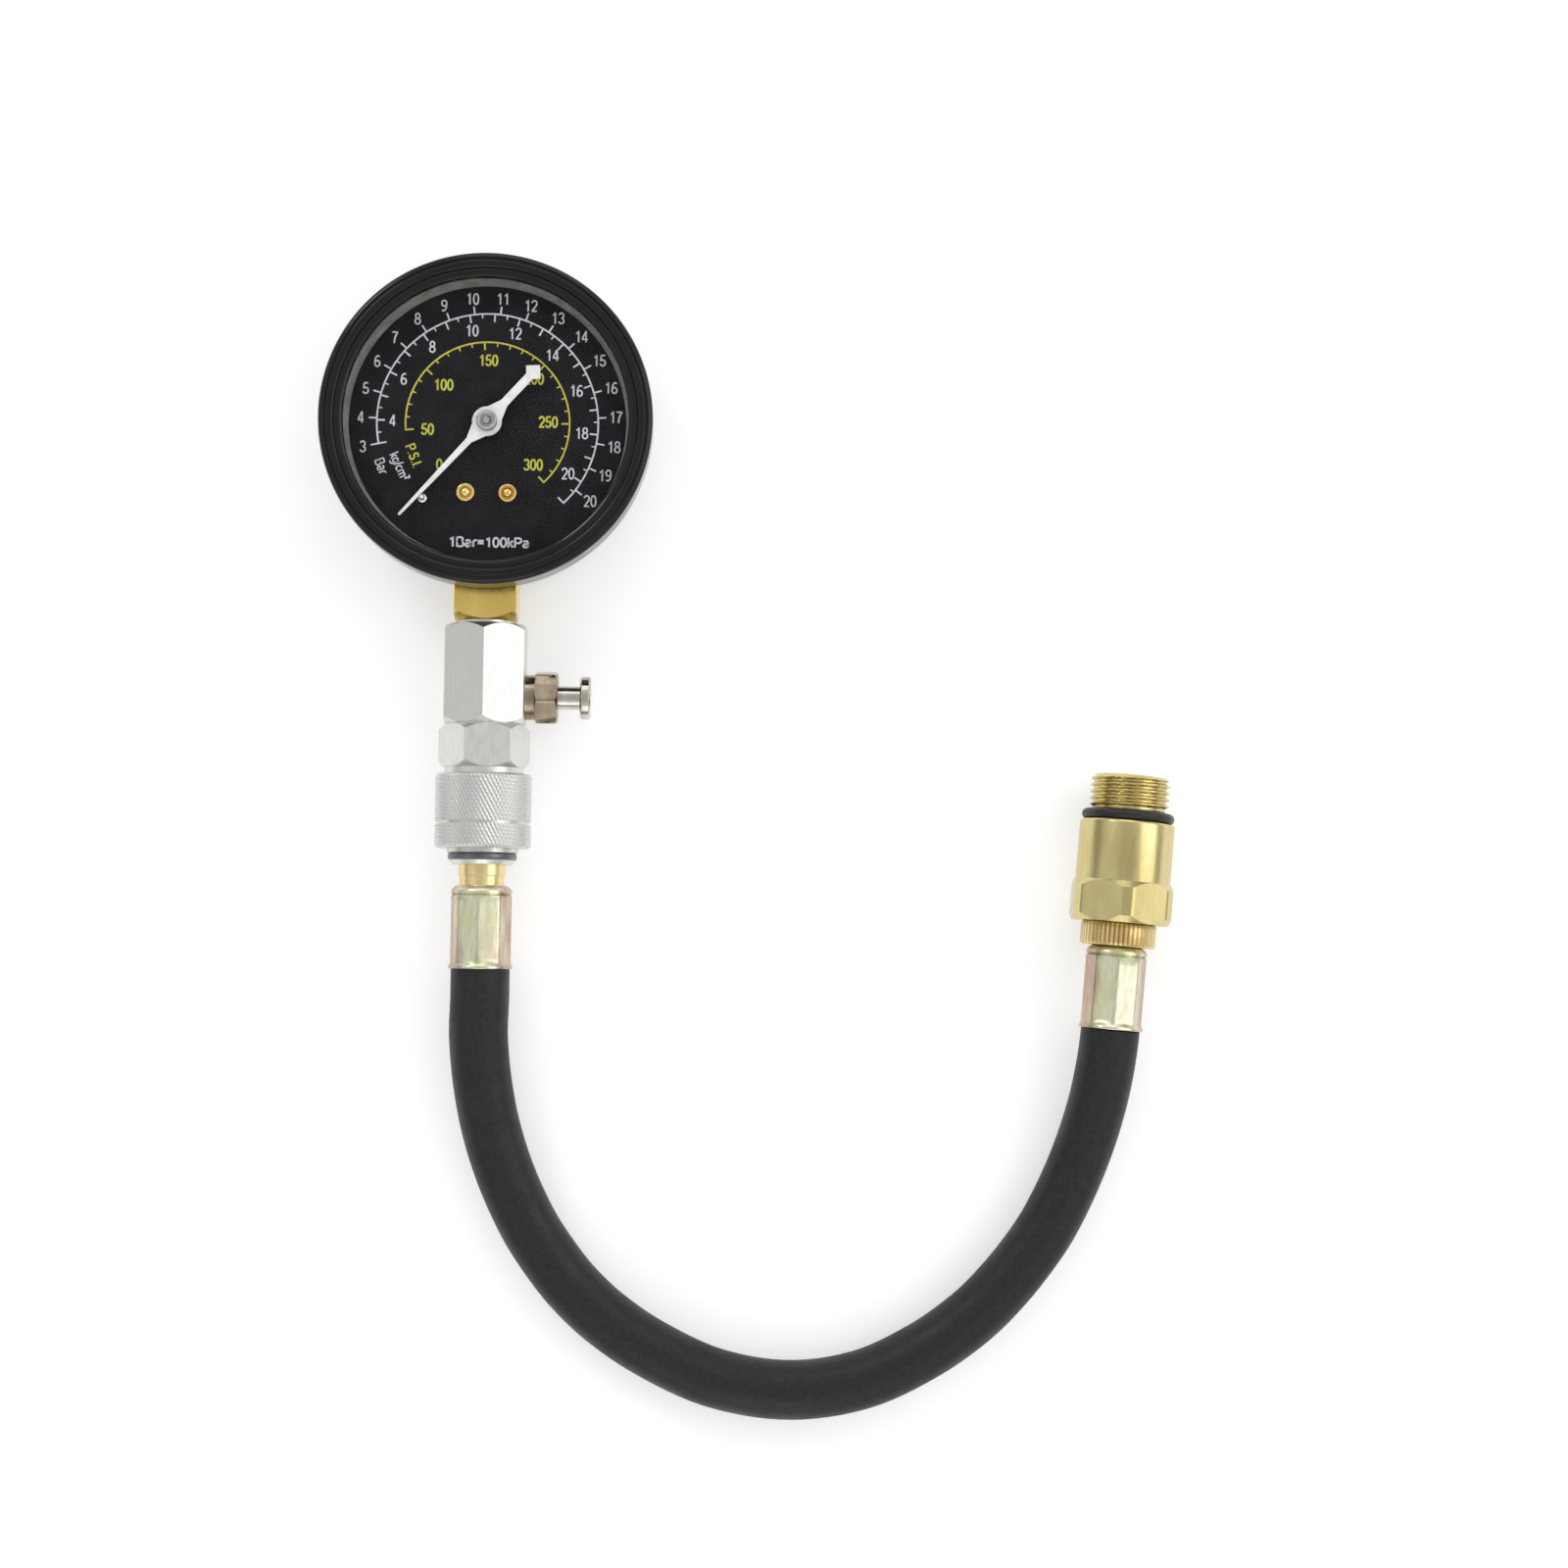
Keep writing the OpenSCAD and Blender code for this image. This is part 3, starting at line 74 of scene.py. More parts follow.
class Finish:
    """A surface finish: one shader and the nodes that feed it, all on the object's own coordinates in metres."""

    def __init__(self, name, metallic=0.0, turn=0.0, **constants):
        self.material = bpy.data.materials.new(name)
        self.material.use_nodes = True
        self.tree = self.material.node_tree
        self.shader = self.tree.nodes["Principled BSDF"]
        self.shader.inputs["Metallic"].default_value = metallic
        for socket, value in constants.items():
            self.shader.inputs[socket.replace("_", " ")].default_value = value
        self.place = self.node("ShaderNodeMapping", Rotation=(0.0, 0.0, turn))
        coordinates = self.tree.nodes.new("ShaderNodeTexCoord")
        self.tree.links.new(coordinates.outputs["Object"], self.place.inputs["Vector"])
        self.heights = []

    def node(self, kind, settings=None, **sockets):
        """A node of that kind, with its settings, and a value or a link on each named socket."""
        node = self.tree.nodes.new(kind)
        for key, value in (settings or {}).items():
            setattr(node, key, value)
        for key, value in sockets.items():
            socket = node.inputs[key.replace("_", " ")]
            if isinstance(value, bpy.types.NodeSocket):
                self.tree.links.new(value, socket)
            else:
                socket.default_value = value
        return node

    def noise(self, size, stretch=(1, 1, 1), detail=3.0, at=(0, 0, 0)):
        """Soft random value from about 0.3 to 0.7 whose features are that many metres across, times the stretch."""
        scaled = self.node("ShaderNodeMapping", Vector=self.place.outputs[0], Location=at,
                           Scale=[1 / size / s for s in stretch])
        return self.node("ShaderNodeTexNoise", Vector=scaled.outputs[0], Scale=1.0, Detail=detail).outputs[0]

    def span(self, value, out_low, out_high, low=0.35, high=0.65):
        """The value carried from one span of numbers to another and held at its ends."""
        return self.node("ShaderNodeMapRange", Value=value, From_Min=low, From_Max=high, To_Min=out_low,
                         To_Max=out_high).outputs[0]

    def mix(self, factor, low, high):
        """Colour between two colours."""
        node = self.tree.nodes.new("ShaderNodeMix")
        node.data_type = "RGBA"
        for socket, value in ((node.inputs[0], factor), (node.inputs[6], low), (node.inputs[7], high)):
            if isinstance(value, bpy.types.NodeSocket):
                self.tree.links.new(value, socket)
            else:
                socket.default_value = value if isinstance(value, float) else (*value, 1.0)
        return node.outputs[2]

    def color(self, value):
        self.tree.links.new(value, self.shader.inputs["Base Color"])

    def rough(self, value):
        self.tree.links.new(value, self.shader.inputs["Roughness"])

    def press(self, height, depth):
        """Presses a height from 0 to 1 into the surface, that many metres deep."""
        before = {"Normal": self.heights[-1]} if self.heights else {}
        bump = self.node("ShaderNodeBump", Height=height, Distance=depth, Strength=1.0, **before)
        self.heights.append(bump.outputs[0])
        self.tree.links.new(bump.outputs[0], self.shader.inputs["Normal"])


def wear(obj, finish):
    """Gives a piece or a CAD part one finish all over."""
    obj.data.materials.clear()
    obj.data.materials.append(finish.material)


def skin(name, *tables, closed=True, sharp=40.0):
    """Mesh over tables of points, rows along a profile by columns round an axis. Columns close on themselves;
    rows close too, or else each end row is closed by one flat face. Faces are turned outwards, and edges
    sharper than the angle in degrees stay crisp."""
    spots, faces, count = [], [], 0
    for points in tables:
        rows, columns = points.shape[:2]
        i, j = np.meshgrid(np.arange(rows if closed else rows - 1), np.arange(columns), indexing="ij")
        i, j, below, beside = i * columns, j, (i + 1) % rows * columns, (j + 1) % columns
        faces += (np.stack([i + j, i + beside, below + beside, below + j], -1).reshape(-1, 4) + count).tolist()
        if not closed:
            faces += [range(count, count + columns)[::-1],
                      range(count + (rows - 1) * columns, count + rows * columns)]
        spots.append(points.reshape(-1, 3))
        count += rows * columns
    mesh = bpy.data.meshes.new(name)
    mesh.from_pydata(np.vstack(spots).tolist(), [], [tuple(f) for f in faces])
    work = bmesh.new()
    work.from_mesh(mesh)
    bmesh.ops.recalc_face_normals(work, faces=work.faces)
    work.to_mesh(mesh)
    work.free()
    mesh.shade_smooth()
    mesh.set_sharp_from_angle(angle=math.radians(sharp))
    obj = bpy.data.objects.new(name, mesh)
    bpy.context.scene.collection.objects.link(obj)
    return obj


mm = 0.001
lip_y = -121.9 * mm
hose_r = 6.6 * mm
hose_z = 6.7 * mm
leg_z = 10.8 * mm
far_lip = np.array([141.8, -133.7, 12.003]) * mm
far_lean = math.radians(4.5)
far_up = np.array([math.sin(far_lean), math.cos(far_lean), 0])
route = np.array([[0, -6.7, 3.8], [-0.2, -14.8, 2.9], [0.8, -25.3, 1.7], [2.9, -35.8, 0.7], [6.4, -46.3, 0.1],
                  [11.4, -56.8, 0], [15.9, -63.7, 0], [21.4, -70.6, 0], [28.9, -77.6, 0], [39.5, -84.6, 0],
                  [54, -91, 0], [70.8, -93.5, 0], [87, -91, 0], [101, -84.4, 0], [111.5, -76.9, 0],
                  [118.6, -69.8, 0], [124.3, -62.7, 0], [128.9, -55.7, 0.2], [134, -45, 0.9],
                  [137.7, -34.4, 2.3], [140.2, -24, 3.9]]) * mm + [0, lip_y, hose_z]
hose_points = np.vstack([[[0, lip_y, leg_z]], route, [far_lip]])


def smooth_path(points, step, first, last):
    """Curve through points at even steps: each stretch is a cubic whose end slopes run between its
    neighbours, with the given slopes at the two ends."""
    gap = np.linalg.norm(np.diff(points, axis=0), axis=1)
    slope = np.zeros_like(points)
    slope[1:-1] = (points[2:] - points[:-2]) / (gap[1:] + gap[:-1])[:, None]
    slope[0], slope[-1] = first, last
    found = []
    for k, length in enumerate(gap):
        t = np.arange(0, 1, step / length)[:, None]
        found.append((2 * t**3 - 3 * t**2 + 1) * points[k] + (t**3 - 2 * t**2 + t) * length * slope[k]
                     + (3 * t**2 - 2 * t**3) * points[k + 1] + (t**3 - t**2) * length * slope[k + 1])
    return np.vstack([*found, points[-1:]])


def tube(path, radius, sides):
    """Table of rings round a path: each ring's points turn round the path's own direction, level with the floor."""
    along = np.gradient(path, axis=0)
    along /= np.linalg.norm(along, axis=1)[:, None]
    side = np.cross(along, [0, 0, 1])
    side /= np.linalg.norm(side, axis=1)[:, None]
    up = np.cross(side, along)
    turn = np.linspace(0, 2 * math.pi, sides, endpoint=False)[None, :, None]
    return path[:, None] + radius * (np.cos(turn) * side[:, None] + np.sin(turn) * up[:, None])


hose_path = smooth_path(hose_points, 2.5 * mm, np.array([0, -1, 0]), far_up)
hose = skin("hose_cover", tube(hose_path, hose_r, 64), closed=False)
rubber = Finish("hose_rubber", Specular_IOR_Level=0.35)
rubber.color(rubber.mix(rubber.span(rubber.noise(1.2 * mm, detail=6.0), 0.0, 1.0), tint(24, 24, 25),
                        tint(34, 34, 35)))
rubber.rough(rubber.span(rubber.noise(8 * mm), 0.42, 0.56))
rubber.press(rubber.noise(0.35 * mm, detail=5.0), 0.02 * mm)


def fitted(obj, finish, body, part):
    """Gives a built piece its finish and material slot, and lets it ride in the place of a CAD part."""
    wear(obj, finish)
    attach(obj, body)
    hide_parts(part)


fitted(hose, rubber, "hose_side", "hose")

# Floor and light
# A pale table top that keeps the tool's soft shadow, under a pale sky that is brightest half way up and to the
# right, and dimmer at its foot and overhead, with soft lamps round it and a small one at the upper left.
floor_mesh = bpy.data.meshes.new("floor")
reach = 6.0
floor_mesh.from_pydata([(-reach, -reach, 0), (reach, -reach, 0), (reach, reach, 0), (-reach, reach, 0)], [],
                       [(0, 1, 2, 3)])
floor = bpy.data.objects.new("floor", floor_mesh)
bpy.context.scene.collection.objects.link(floor)
table = Finish("table_top", Specular_IOR_Level=0.1)
table.color(table.mix(table.span(table.noise(60 * mm), 0.0, 1.0), tint(222, 222, 222), tint(226, 226, 226)))
table.rough(table.span(table.noise(20 * mm), 0.7, 0.8))
ray = table.tree.nodes.new("ShaderNodeLightPath").outputs
seen = table.node("ShaderNodeMath", {"operation": "MAXIMUM"})
shown = table.node("ShaderNodeMath", {"operation": "MAXIMUM"})
table.tree.links.new(ray["Is Camera Ray"], seen.inputs[0])
table.tree.links.new(ray["Is Glossy Ray"], seen.inputs[1])
table.tree.links.new(seen.outputs[0], shown.inputs[0])
table.tree.links.new(ray["Is Transmission Ray"], shown.inputs[1])
glow = table.node("ShaderNodeMath", {"operation": "MULTIPLY"})
table.tree.links.new(shown.outputs[0], glow.inputs[0])
glow.inputs[1].default_value = 0.42
table.shader.inputs["Emission Color"].default_value = (1, 1, 1, 1)
table.tree.links.new(glow.outputs[0], table.shader.inputs["Emission Strength"])
wear(floor, table)

world = bpy.data.worlds.new("studio")
bpy.context.scene.world = world
world.use_nodes = True
sky = world.node_tree
direction = sky.nodes.new("ShaderNodeTexCoord")
split = sky.nodes.new("ShaderNodeSeparateXYZ")
dome = sky.nodes.new("ShaderNodeValToRGB")
sky.links.new(direction.outputs["Generated"], split.inputs[0])
sky.links.new(split.outputs["Z"], dome.inputs["Fac"])
for height, level in ((0.2, 0.5), (0.42, 0.95), (0.8, 0.95), (0.96, 0.68)):
    stop = dome.color_ramp.elements.new(height)
    stop.color = (level, level, level, 1)
dome.color_ramp.elements[0].color = (0.5, 0.5, 0.5, 1)
dome.color_ramp.elements[-1].color = (0.66, 0.66, 0.66, 1)
slant = sky.nodes.new("ShaderNodeMath")
slant.operation = "MULTIPLY_ADD"
sky.links.new(split.outputs["X"], slant.inputs[0])
slant.inputs[1].default_value, slant.inputs[2].default_value = 0.14, 0.92
level = sky.nodes.new("ShaderNodeMath")
level.operation = "MULTIPLY"
sky.links.new(dome.outputs["Color"], level.inputs[0])
sky.links.new(slant.outputs[0], level.inputs[1])
sky.links.new(level.outputs[0], sky.nodes["Background"].inputs["Strength"])
sky.nodes["Background"].inputs["Color"].default_value = (1, 1, 1, 1)

aim = np.array([0.06, -0.09, 0.0])
for name, place, size, power in (("lamp_right", (0.85, 0.15, 0.65), 0.7, 1.5),
                                 ("lamp_left", (-0.5, 0.6, 0.6), 0.25, 1.3),
                                 ("lamp_far", (0.1, 0.85, 0.55), 0.6, 1.0),
                                 ("lamp_near", (0.0, -1.0, 0.5), 0.6, 1.0)):
    lamp_data = bpy.data.lights.new(name, "AREA")
    lamp_data.shape = "SQUARE"
    lamp_data.size = size
    lamp_data.energy = power
    lamp = bpy.data.objects.new(name, lamp_data)
    lamp.location = place
    across, ahead, height = aim - np.array(place)
    lamp.rotation_euler = (math.atan2(math.hypot(across, ahead), -height), 0, math.atan2(-across, ahead))
    bpy.context.scene.collection.objects.link(lamp)
bpy.context.scene.view_settings.view_transform = "Standard"


# Case
# Drawn steel cup under the bezel, sprayed satin black with the fine orange peel of a cheap enamel; a square
# hole lets the socket's stem out and two countersunk screws hold the socket to its back.
def worked(name, part, chamfer, finish, body, crease=30.0, shape=None):
    """Copy of a CAD part with its facets joined and its flat faces whole; edges sharper than the crease angle
    get a small rounded chamfer, and the rest is shaded as one curve. The shape function may move its points."""
    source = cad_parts[part].data
    spots = np.zeros(len(source.vertices) * 3)
    source.vertices.foreach_get("co", spots)
    spots = spots.reshape(-1, 3)
    spots = shape(spots) if shape else spots
    corners = np.zeros(len(source.loops), int)
    source.loops.foreach_get("vertex_index", corners)
    mesh = bpy.data.meshes.new(name)
    mesh.from_pydata(spots.tolist(), [], corners.reshape(-1, 3).tolist())
    work = bmesh.new()
    work.from_mesh(mesh)
    bmesh.ops.remove_doubles(work, verts=work.verts, dist=0.002 * mm)
    bmesh.ops.dissolve_limit(work, angle_limit=math.radians(0.5), verts=work.verts, edges=work.edges)
    work.to_mesh(mesh)
    work.free()
    mesh.shade_smooth()
    mesh.set_sharp_from_angle(angle=math.radians(crease))
    obj = bpy.data.objects.new(name, mesh)
    bpy.context.scene.collection.objects.link(obj)
    if chamfer:
        bevel = obj.modifiers.new("chamfer", "BEVEL")
        bevel.width = chamfer
        bevel.segments = 2
        bevel.limit_method = "ANGLE"
        bevel.angle_limit = math.radians(crease)
        bevel.use_clamp_overlap = True
        bevel.harden_normals = True
    fitted(obj, finish, body, part)
    return obj


enamel = Finish("black_enamel", Specular_IOR_Level=0.5, Coat_Weight=0.25, Coat_Roughness=0.2)
enamel.color(enamel.mix(enamel.span(enamel.noise(3 * mm, detail=6.0), 0.0, 1.0), tint(42, 42, 45),
                        tint(76, 76, 80)))
enamel.rough(enamel.span(enamel.noise(6 * mm), 0.42, 0.55))
enamel.press(enamel.noise(0.7 * mm), 0.03 * mm)
worked("case_shell", "case", 0.15 * mm, enamel, "gauge")


def plain_steel(name, shade, rough, line=0.15 * mm):
    """Bright steel with fine tool marks and a slight mottle."""
    finish = Finish(name, metallic=1.0)
    finish.color(finish.mix(finish.span(finish.noise(1.5 * mm), 0.0, 1.0), tint(*(0.86 * c for c in shade)),
                            tint(*shade)))
    finish.rough(finish.span(finish.noise(0.8 * mm), rough - 0.06, rough + 0.08))
    finish.press(finish.noise(line, stretch=(12, 1, 12)), 0.004 * mm)
    return finish


def fit_out(parts, finish):
    """Gives CAD parts that stay as they are one finish."""
    for part in parts:
        wear(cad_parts[part], finish)


screw_steel = plain_steel("screw_steel", (176, 178, 182), 0.30)
worked("back_screws", "case_screws", 0.08 * mm, screw_steel, "gauge")

# Socket and stem
# One brass forging: a block inside the case that carries the pressure tube, and the square stem that shows
# under the case, with its corners turned and a bevelled foot on a threaded spigot.
def turned_brass(name, light, dark, rough, turn=0.0, streak=1.0 * mm, line=0.12 * mm):
    """Brass bar with the streaks of drawing along its axis, fine turned rings across it and a soft tarnish."""
    finish = Finish(name, metallic=1.0, turn=turn)
    grain = finish.span(finish.noise(streak, stretch=(1, 12, 1), detail=5.0), 0.0, 1.0)
    tarnish = finish.span(finish.noise(6 * mm, stretch=(1, 2, 1)), 0.0, 0.6)
    drawn = finish.mix(grain, tint(*light), tint(*(0.95 * c for c in light)))
    finish.color(finish.mix(tarnish, drawn, tint(*dark)))
    finish.rough(finish.span(finish.noise(0.5 * mm, stretch=(1, 6, 1)), rough - 0.04, rough + 0.06))
    finish.press(finish.noise(line, stretch=(30, 1, 30), detail=2.0), 0.002 * mm)
    return finish


def cut_back(start, end, face_r, corner_r, share):
    """Moves the points of the cones that are turned on a bar's ends, so that each cone is that share as steep."""
    def move(points):
        t, r = -points[:, 1], np.hypot(points[:, 0], points[:, 2] - leg_z)
        cone = (np.clip(r, face_r, corner_r) - face_r) * math.tan(math.radians(30))
        for edge, way in ((start, 1), (end, -1)):
            on_cone = (r > face_r + 0.02 * mm) & (np.abs((t - edge) * way - cone) < 0.03 * mm)
            t = np.where(on_cone, edge + way * share * cone, t)
        return np.stack([points[:, 0], -t, points[:, 2]], -1)
    return move


stem_brass = turned_brass("stem_brass", (252, 226, 134), (226, 190, 98), 0.2, streak=3.0 * mm)
worked("stem_bar", "stem", 0.12 * mm, stem_brass, "gauge",
       shape=cut_back(0.0, 43.7 * mm, 6.9 * mm, 9.751 * mm, 1.15))

# Pressure tube and movement
# Hidden under the dial: a bent oval tube of spring brass, its tip, the link, the toothed sector and pinion
# between two brass plates on pillars, and a flat hairspring.
movement_brass = turned_brass("movement_brass", (222, 190, 110), (170, 130, 60), 0.3)
fit_out(["pressure_tube", "tube_tip", "link", "sector_gear", "movement_back_plate", "movement_front_plate",
         "pillars"], movement_brass)
pivot_steel = plain_steel("pivot_steel", (196, 198, 202), 0.22)
fit_out(["sector_shaft", "link_pin", "tip_pin", "pinion_shaft", "hairspring", "plate_screws",
         "movement_screws"], pivot_steel)

# Dial
# Thin steel plate sprayed matt black, held by two brass-headed screws. Three scales are printed on it: bar
# outside and kilograms per square centimetre inside one white arc, and pounds per square inch in yellow.
dial_black = Finish("dial_black", Specular_IOR_Level=0.12)
dial_black.color(dial_black.mix(dial_black.span(dial_black.noise(5 * mm, detail=6.0), 0.0, 1.0),
                                tint(15, 15, 18), tint(23, 23, 27)))
dial_black.rough(dial_black.span(dial_black.noise(2 * mm), 0.55, 0.7))
dial_black.press(dial_black.noise(0.25 * mm), 0.004 * mm)
worked("dial_plate", "dial", 0, dial_black, "gauge")
dial_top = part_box("dial")[1].z
print_t = 0.03 * mm
zero_at = 232.0
turn_per_bar = 13.43
bar_per_psi = 0.0689476
bar_per_kg = 0.980665
scale_r = 24.7 * mm
psi_r = 18.3 * mm
arc_w = 0.36 * mm
tick_w = 0.36 * mm
half_tick_w = 0.28 * mm
long_tick = 1.8 * mm
short_tick = 0.95 * mm


def angle_of(bar):
    """Direction on the dial of a pressure in bar, in radians from three o'clock."""
    return np.radians(zero_at - turn_per_bar * np.asarray(bar, float))


def arc(radius, first, last):
    """Flat band round the dial: pairs of points half its width inside and outside the radius."""
    a = np.linspace(first, last, 160)
    flat = [np.stack([(radius + s * arc_w / 2) * np.cos(a), (radius + s * arc_w / 2) * np.sin(a)], -1)
            for s in (-1, 1)]
    points = np.stack(flat, 1).reshape(-1, 2)
    i = np.arange(len(a) - 1) * 2
    return points, np.stack([i, i + 1, i + 3, i + 2], -1)


def ticks(bars, start, end, width):
    """One bar across the radius at each pressure, from one radius to another."""
    a = angle_of(bars)[:, None]
    out, side = np.stack([np.cos(a), np.sin(a)], -1), np.stack([-np.sin(a), np.cos(a)], -1)
    radii = np.array([start, end, end, start])[None, :, None]
    sides = np.array([-1, -1, 1, 1])[None, :, None] * width / 2
    points = (radii * out + sides * side).reshape(-1, 2)
    return points, np.arange(len(points)).reshape(-1, 4)


# the middle lines of each letter's strokes in a box one high: two numbers are a point, six are an oval's middle,
# its half width and height, and the angles it runs from and to
letters = {
    "0": (0.56, [[(0.28, 0.5, 0.2, 0.44, 90, 450)]]),
    "1": (0.56, [[(0.13, 0.73), (0.24, 0.81), (0.33, 0.95)], [(0.33, 0.98), (0.33, 0.03)]]),
    "2": (0.56, [[(0.28, 0.7, 0.2, 0.24, 170, -35), (0.1, 0.06)], [(0.06, 0.06), (0.49, 0.06)]]),
    "3": (0.56, [[(0.27, 0.72, 0.18, 0.22, 165, -90)], [(0.27, 0.28, 0.21, 0.22, 90, -165)]]),
    "4": (0.56, [[(0.39, 0.97), (0.39, 0.03)], [(0.37, 0.95), (0.07, 0.29)], [(0.05, 0.27), (0.52, 0.27)]]),
    "5": (0.56, [[(0.47, 0.94), (0.15, 0.94)], [(0.15, 0.94), (0.1, 0.5)], [(0.27, 0.31, 0.21, 0.25, 140, -165)]]),
    "6": (0.56, [[(0.28, 0.3, 0.2, 0.24, 0, 360)], [(0.33, 0.38, 0.25, 0.56, 180, 60)]]),
    "7": (0.56, [[(0.05, 0.94), (0.5, 0.94)], [(0.5, 0.94), (0.36, 0.72), (0.26, 0.42), (0.21, 0.03)]]),
    "8": (0.56, [[(0.28, 0.73, 0.17, 0.21, 0, 360)], [(0.28, 0.28, 0.21, 0.23, 0, 360)]]),
    "9": (0.56, [[(0.28, 0.7, 0.2, 0.24, 0, 360)], [(0.23, 0.62, 0.25, 0.56, 0, -120)]]),
    "B": (0.66, [[(0.09, 0.97), (0.09, 0.03)], [(0.09, 0.94), (0.35, 0.735, 0.17, 0.205, 90, -90), (0.09, 0.53)],
                 [(0.09, 0.53), (0.37, 0.295, 0.2, 0.235, 90, -90), (0.09, 0.06)]]),
    "P": (0.64, [[(0.09, 0.97), (0.09, 0.03)], [(0.09, 0.94), (0.36, 0.7, 0.2, 0.24, 90, -90), (0.09, 0.46)]]),
    "S": (0.66, [[(0.3, 0.72, 0.2, 0.22, 20, 270)], [(0.3, 0.28, 0.22, 0.22, 90, -160)]]),
    "I": (0.28, [[(0.12, 0.97), (0.12, 0.03)]]),
    "a": (0.56, [[(0.24, 0.21, 0.17, 0.16, 0, 360)], [(0.42, 0.03), (0.25, 0.5, 0.17, 0.17, 0, 155)]]),
    "r": (0.36, [[(0.09, 0.03), (0.29, 0.46, 0.2, 0.22, 180, 75)]]),
    "k": (0.5, [[(0.09, 0.97), (0.09, 0.03)], [(0.42, 0.66), (0.1, 0.3)], [(0.2, 0.4), (0.44, 0.03)]]),
    "g": (0.56, [[(0.25, 0.36, 0.18, 0.29, 0, 360)], [(0.43, 0.67), (0.25, -0.06, 0.18, 0.17, 0, -150)]]),
    "c": (0.5, [[(0.26, 0.35, 0.19, 0.3, 45, 315)]]),
    "m": (0.82, [[(0.08, 0.68), (0.08, 0.03)], [(0.24, 0.46, 0.16, 0.2, 180, 0), (0.4, 0.03)],
                 [(0.56, 0.46, 0.16, 0.2, 180, 0), (0.72, 0.03)]]),
    "\u00b2": (0.36, [[(0.17, 0.88, 0.11, 0.13, 170, -35), (0.07, 0.53)], [(0.05, 0.53), (0.29, 0.53)]]),
    "/": (0.3, [[(0.02, 0.0), (0.26, 1.0)]]),
    ".": (0.28, [[(0.1, 0.02), (0.1, 0.1)]]),
    "=": (0.58, [[(0.06, 0.38), (0.5, 0.38)], [(0.06, 0.62), (0.5, 0.62)]]),
}


def lettering(text, height, x, y, turn=0.0, weight=0.33 * mm, wide=None):
    """Flat letters whose middle lies at a point, turned about it, as points and faces: each stroke is a band of
    that weight along its middle line. They may be drawn out to a width."""
    lines, start = [], 0.0
    for letter in text:
        advance, strokes = letters[letter]
        for stroke in strokes:
            line = []
            for part in stroke:
                if len(part) == 2:
                    line.append(part)
                else:
                    bend = np.radians(np.linspace(part[4], part[5], 2 + int(abs(part[5] - part[4]) / 15)))
                    line += zip(part[0] + part[2] * np.cos(bend), part[1] + part[3] * np.sin(bend))
            lines.append((np.array(line) + [start, 0]) * height)
        start += advance
    every = np.vstack(lines)
    middle, spread = (every.min(0) + every.max(0)) / 2, np.ptp(every[:, 0]) + weight
    stretch = np.array([wide / spread if wide else 1.0, 1.0])
    points, faces, count = [], [], 0
    for line in lines:
        line = (line - middle) * stretch
        along = np.diff(line, axis=0)
        along /= np.linalg.norm(along, axis=1)[:, None]
        ahead, behind = np.vstack([along, along[-1:]]), np.vstack([along[:1], along])
        way = (ahead + behind) / (1 + (ahead * behind).sum(1))[:, None]
        side = np.stack([-way[:, 1], way[:, 0]], -1) * weight / 2
        points.append(np.stack([line - side, line + side], 1).reshape(-1, 2))
        i = np.arange(len(line) - 1) * 2 + count
        faces += np.stack([i, i + 2, i + 3, i + 1], -1).tolist()
        count += 2 * len(line)
    c, s = math.cos(turn), math.sin(turn)
    return np.vstack(points) @ np.array([[c, s], [-s, c]]) + [x, y], faces


def printed(name, marks, finish):
    """One thin layer of ink that joins flat marks, just proud of the dial."""
    points, faces, count = [], [], 0
    for flat, shapes in marks:
        points.append(np.column_stack([flat, np.full(len(flat), dial_top + print_t)]))
        faces += [tuple(int(v) + count for v in f) for f in shapes]
        count += len(flat)
    mesh = bpy.data.meshes.new(name)
    mesh.from_pydata(np.vstack(points).tolist(), [], faces)
    work = bmesh.new()
    work.from_mesh(mesh)
    for face in work.faces:
        face.normal_update()
        if face.normal.z < 0:
            face.normal_flip()
    work.to_mesh(mesh)
    work.free()
    obj = bpy.data.objects.new(name, mesh)
    bpy.context.scene.collection.objects.link(obj)
    wear(obj, finish)
    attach(obj, "gauge")


def ink(name, shade):
    """Screen-printed ink, a little thin and uneven at its edges."""
    finish = Finish(name, Specular_IOR_Level=0.25)
    finish.color(finish.mix(finish.span(finish.noise(0.5 * mm, detail=5.0), 0.0, 1.0),
                            tint(*(0.86 * c for c in shade)), tint(*shade)))
    finish.rough(finish.span(finish.noise(0.6 * mm), 0.5, 0.65))
    finish.press(finish.noise(0.2 * mm), 0.003 * mm)
    return finish


first_bar, last_bar = 3.0, 20.684
bar_steps = np.arange(3, 21)
kg_steps, kg_halves = np.arange(4, 21) * bar_per_kg, (np.arange(3, 21) + 0.5) * bar_per_kg
white = [arc(scale_r, angle_of(first_bar), angle_of(last_bar)),
         ticks(bar_steps, scale_r, scale_r + long_tick, tick_w),
         ticks(kg_steps, scale_r - long_tick, scale_r, tick_w),
         ticks([first_bar, last_bar], scale_r - long_tick, scale_r + arc_w / 2, tick_w),
         ticks(kg_halves, scale_r - short_tick, scale_r, half_tick_w)]
number_h, kg_r = 2.7 * mm, 21.2 * mm
for n in bar_steps:
    a, r = float(angle_of(n)), float(np.interp(n, [12, 14], [28.3, 28.8])) * mm
    white.append(lettering(str(n), number_h, r * math.cos(a), r * math.sin(a)))
for n in range(4, 21, 2):
    a = float(angle_of(n * bar_per_kg))
    white.append(lettering(str(n), number_h, kg_r * math.cos(a), kg_r * math.sin(a)))
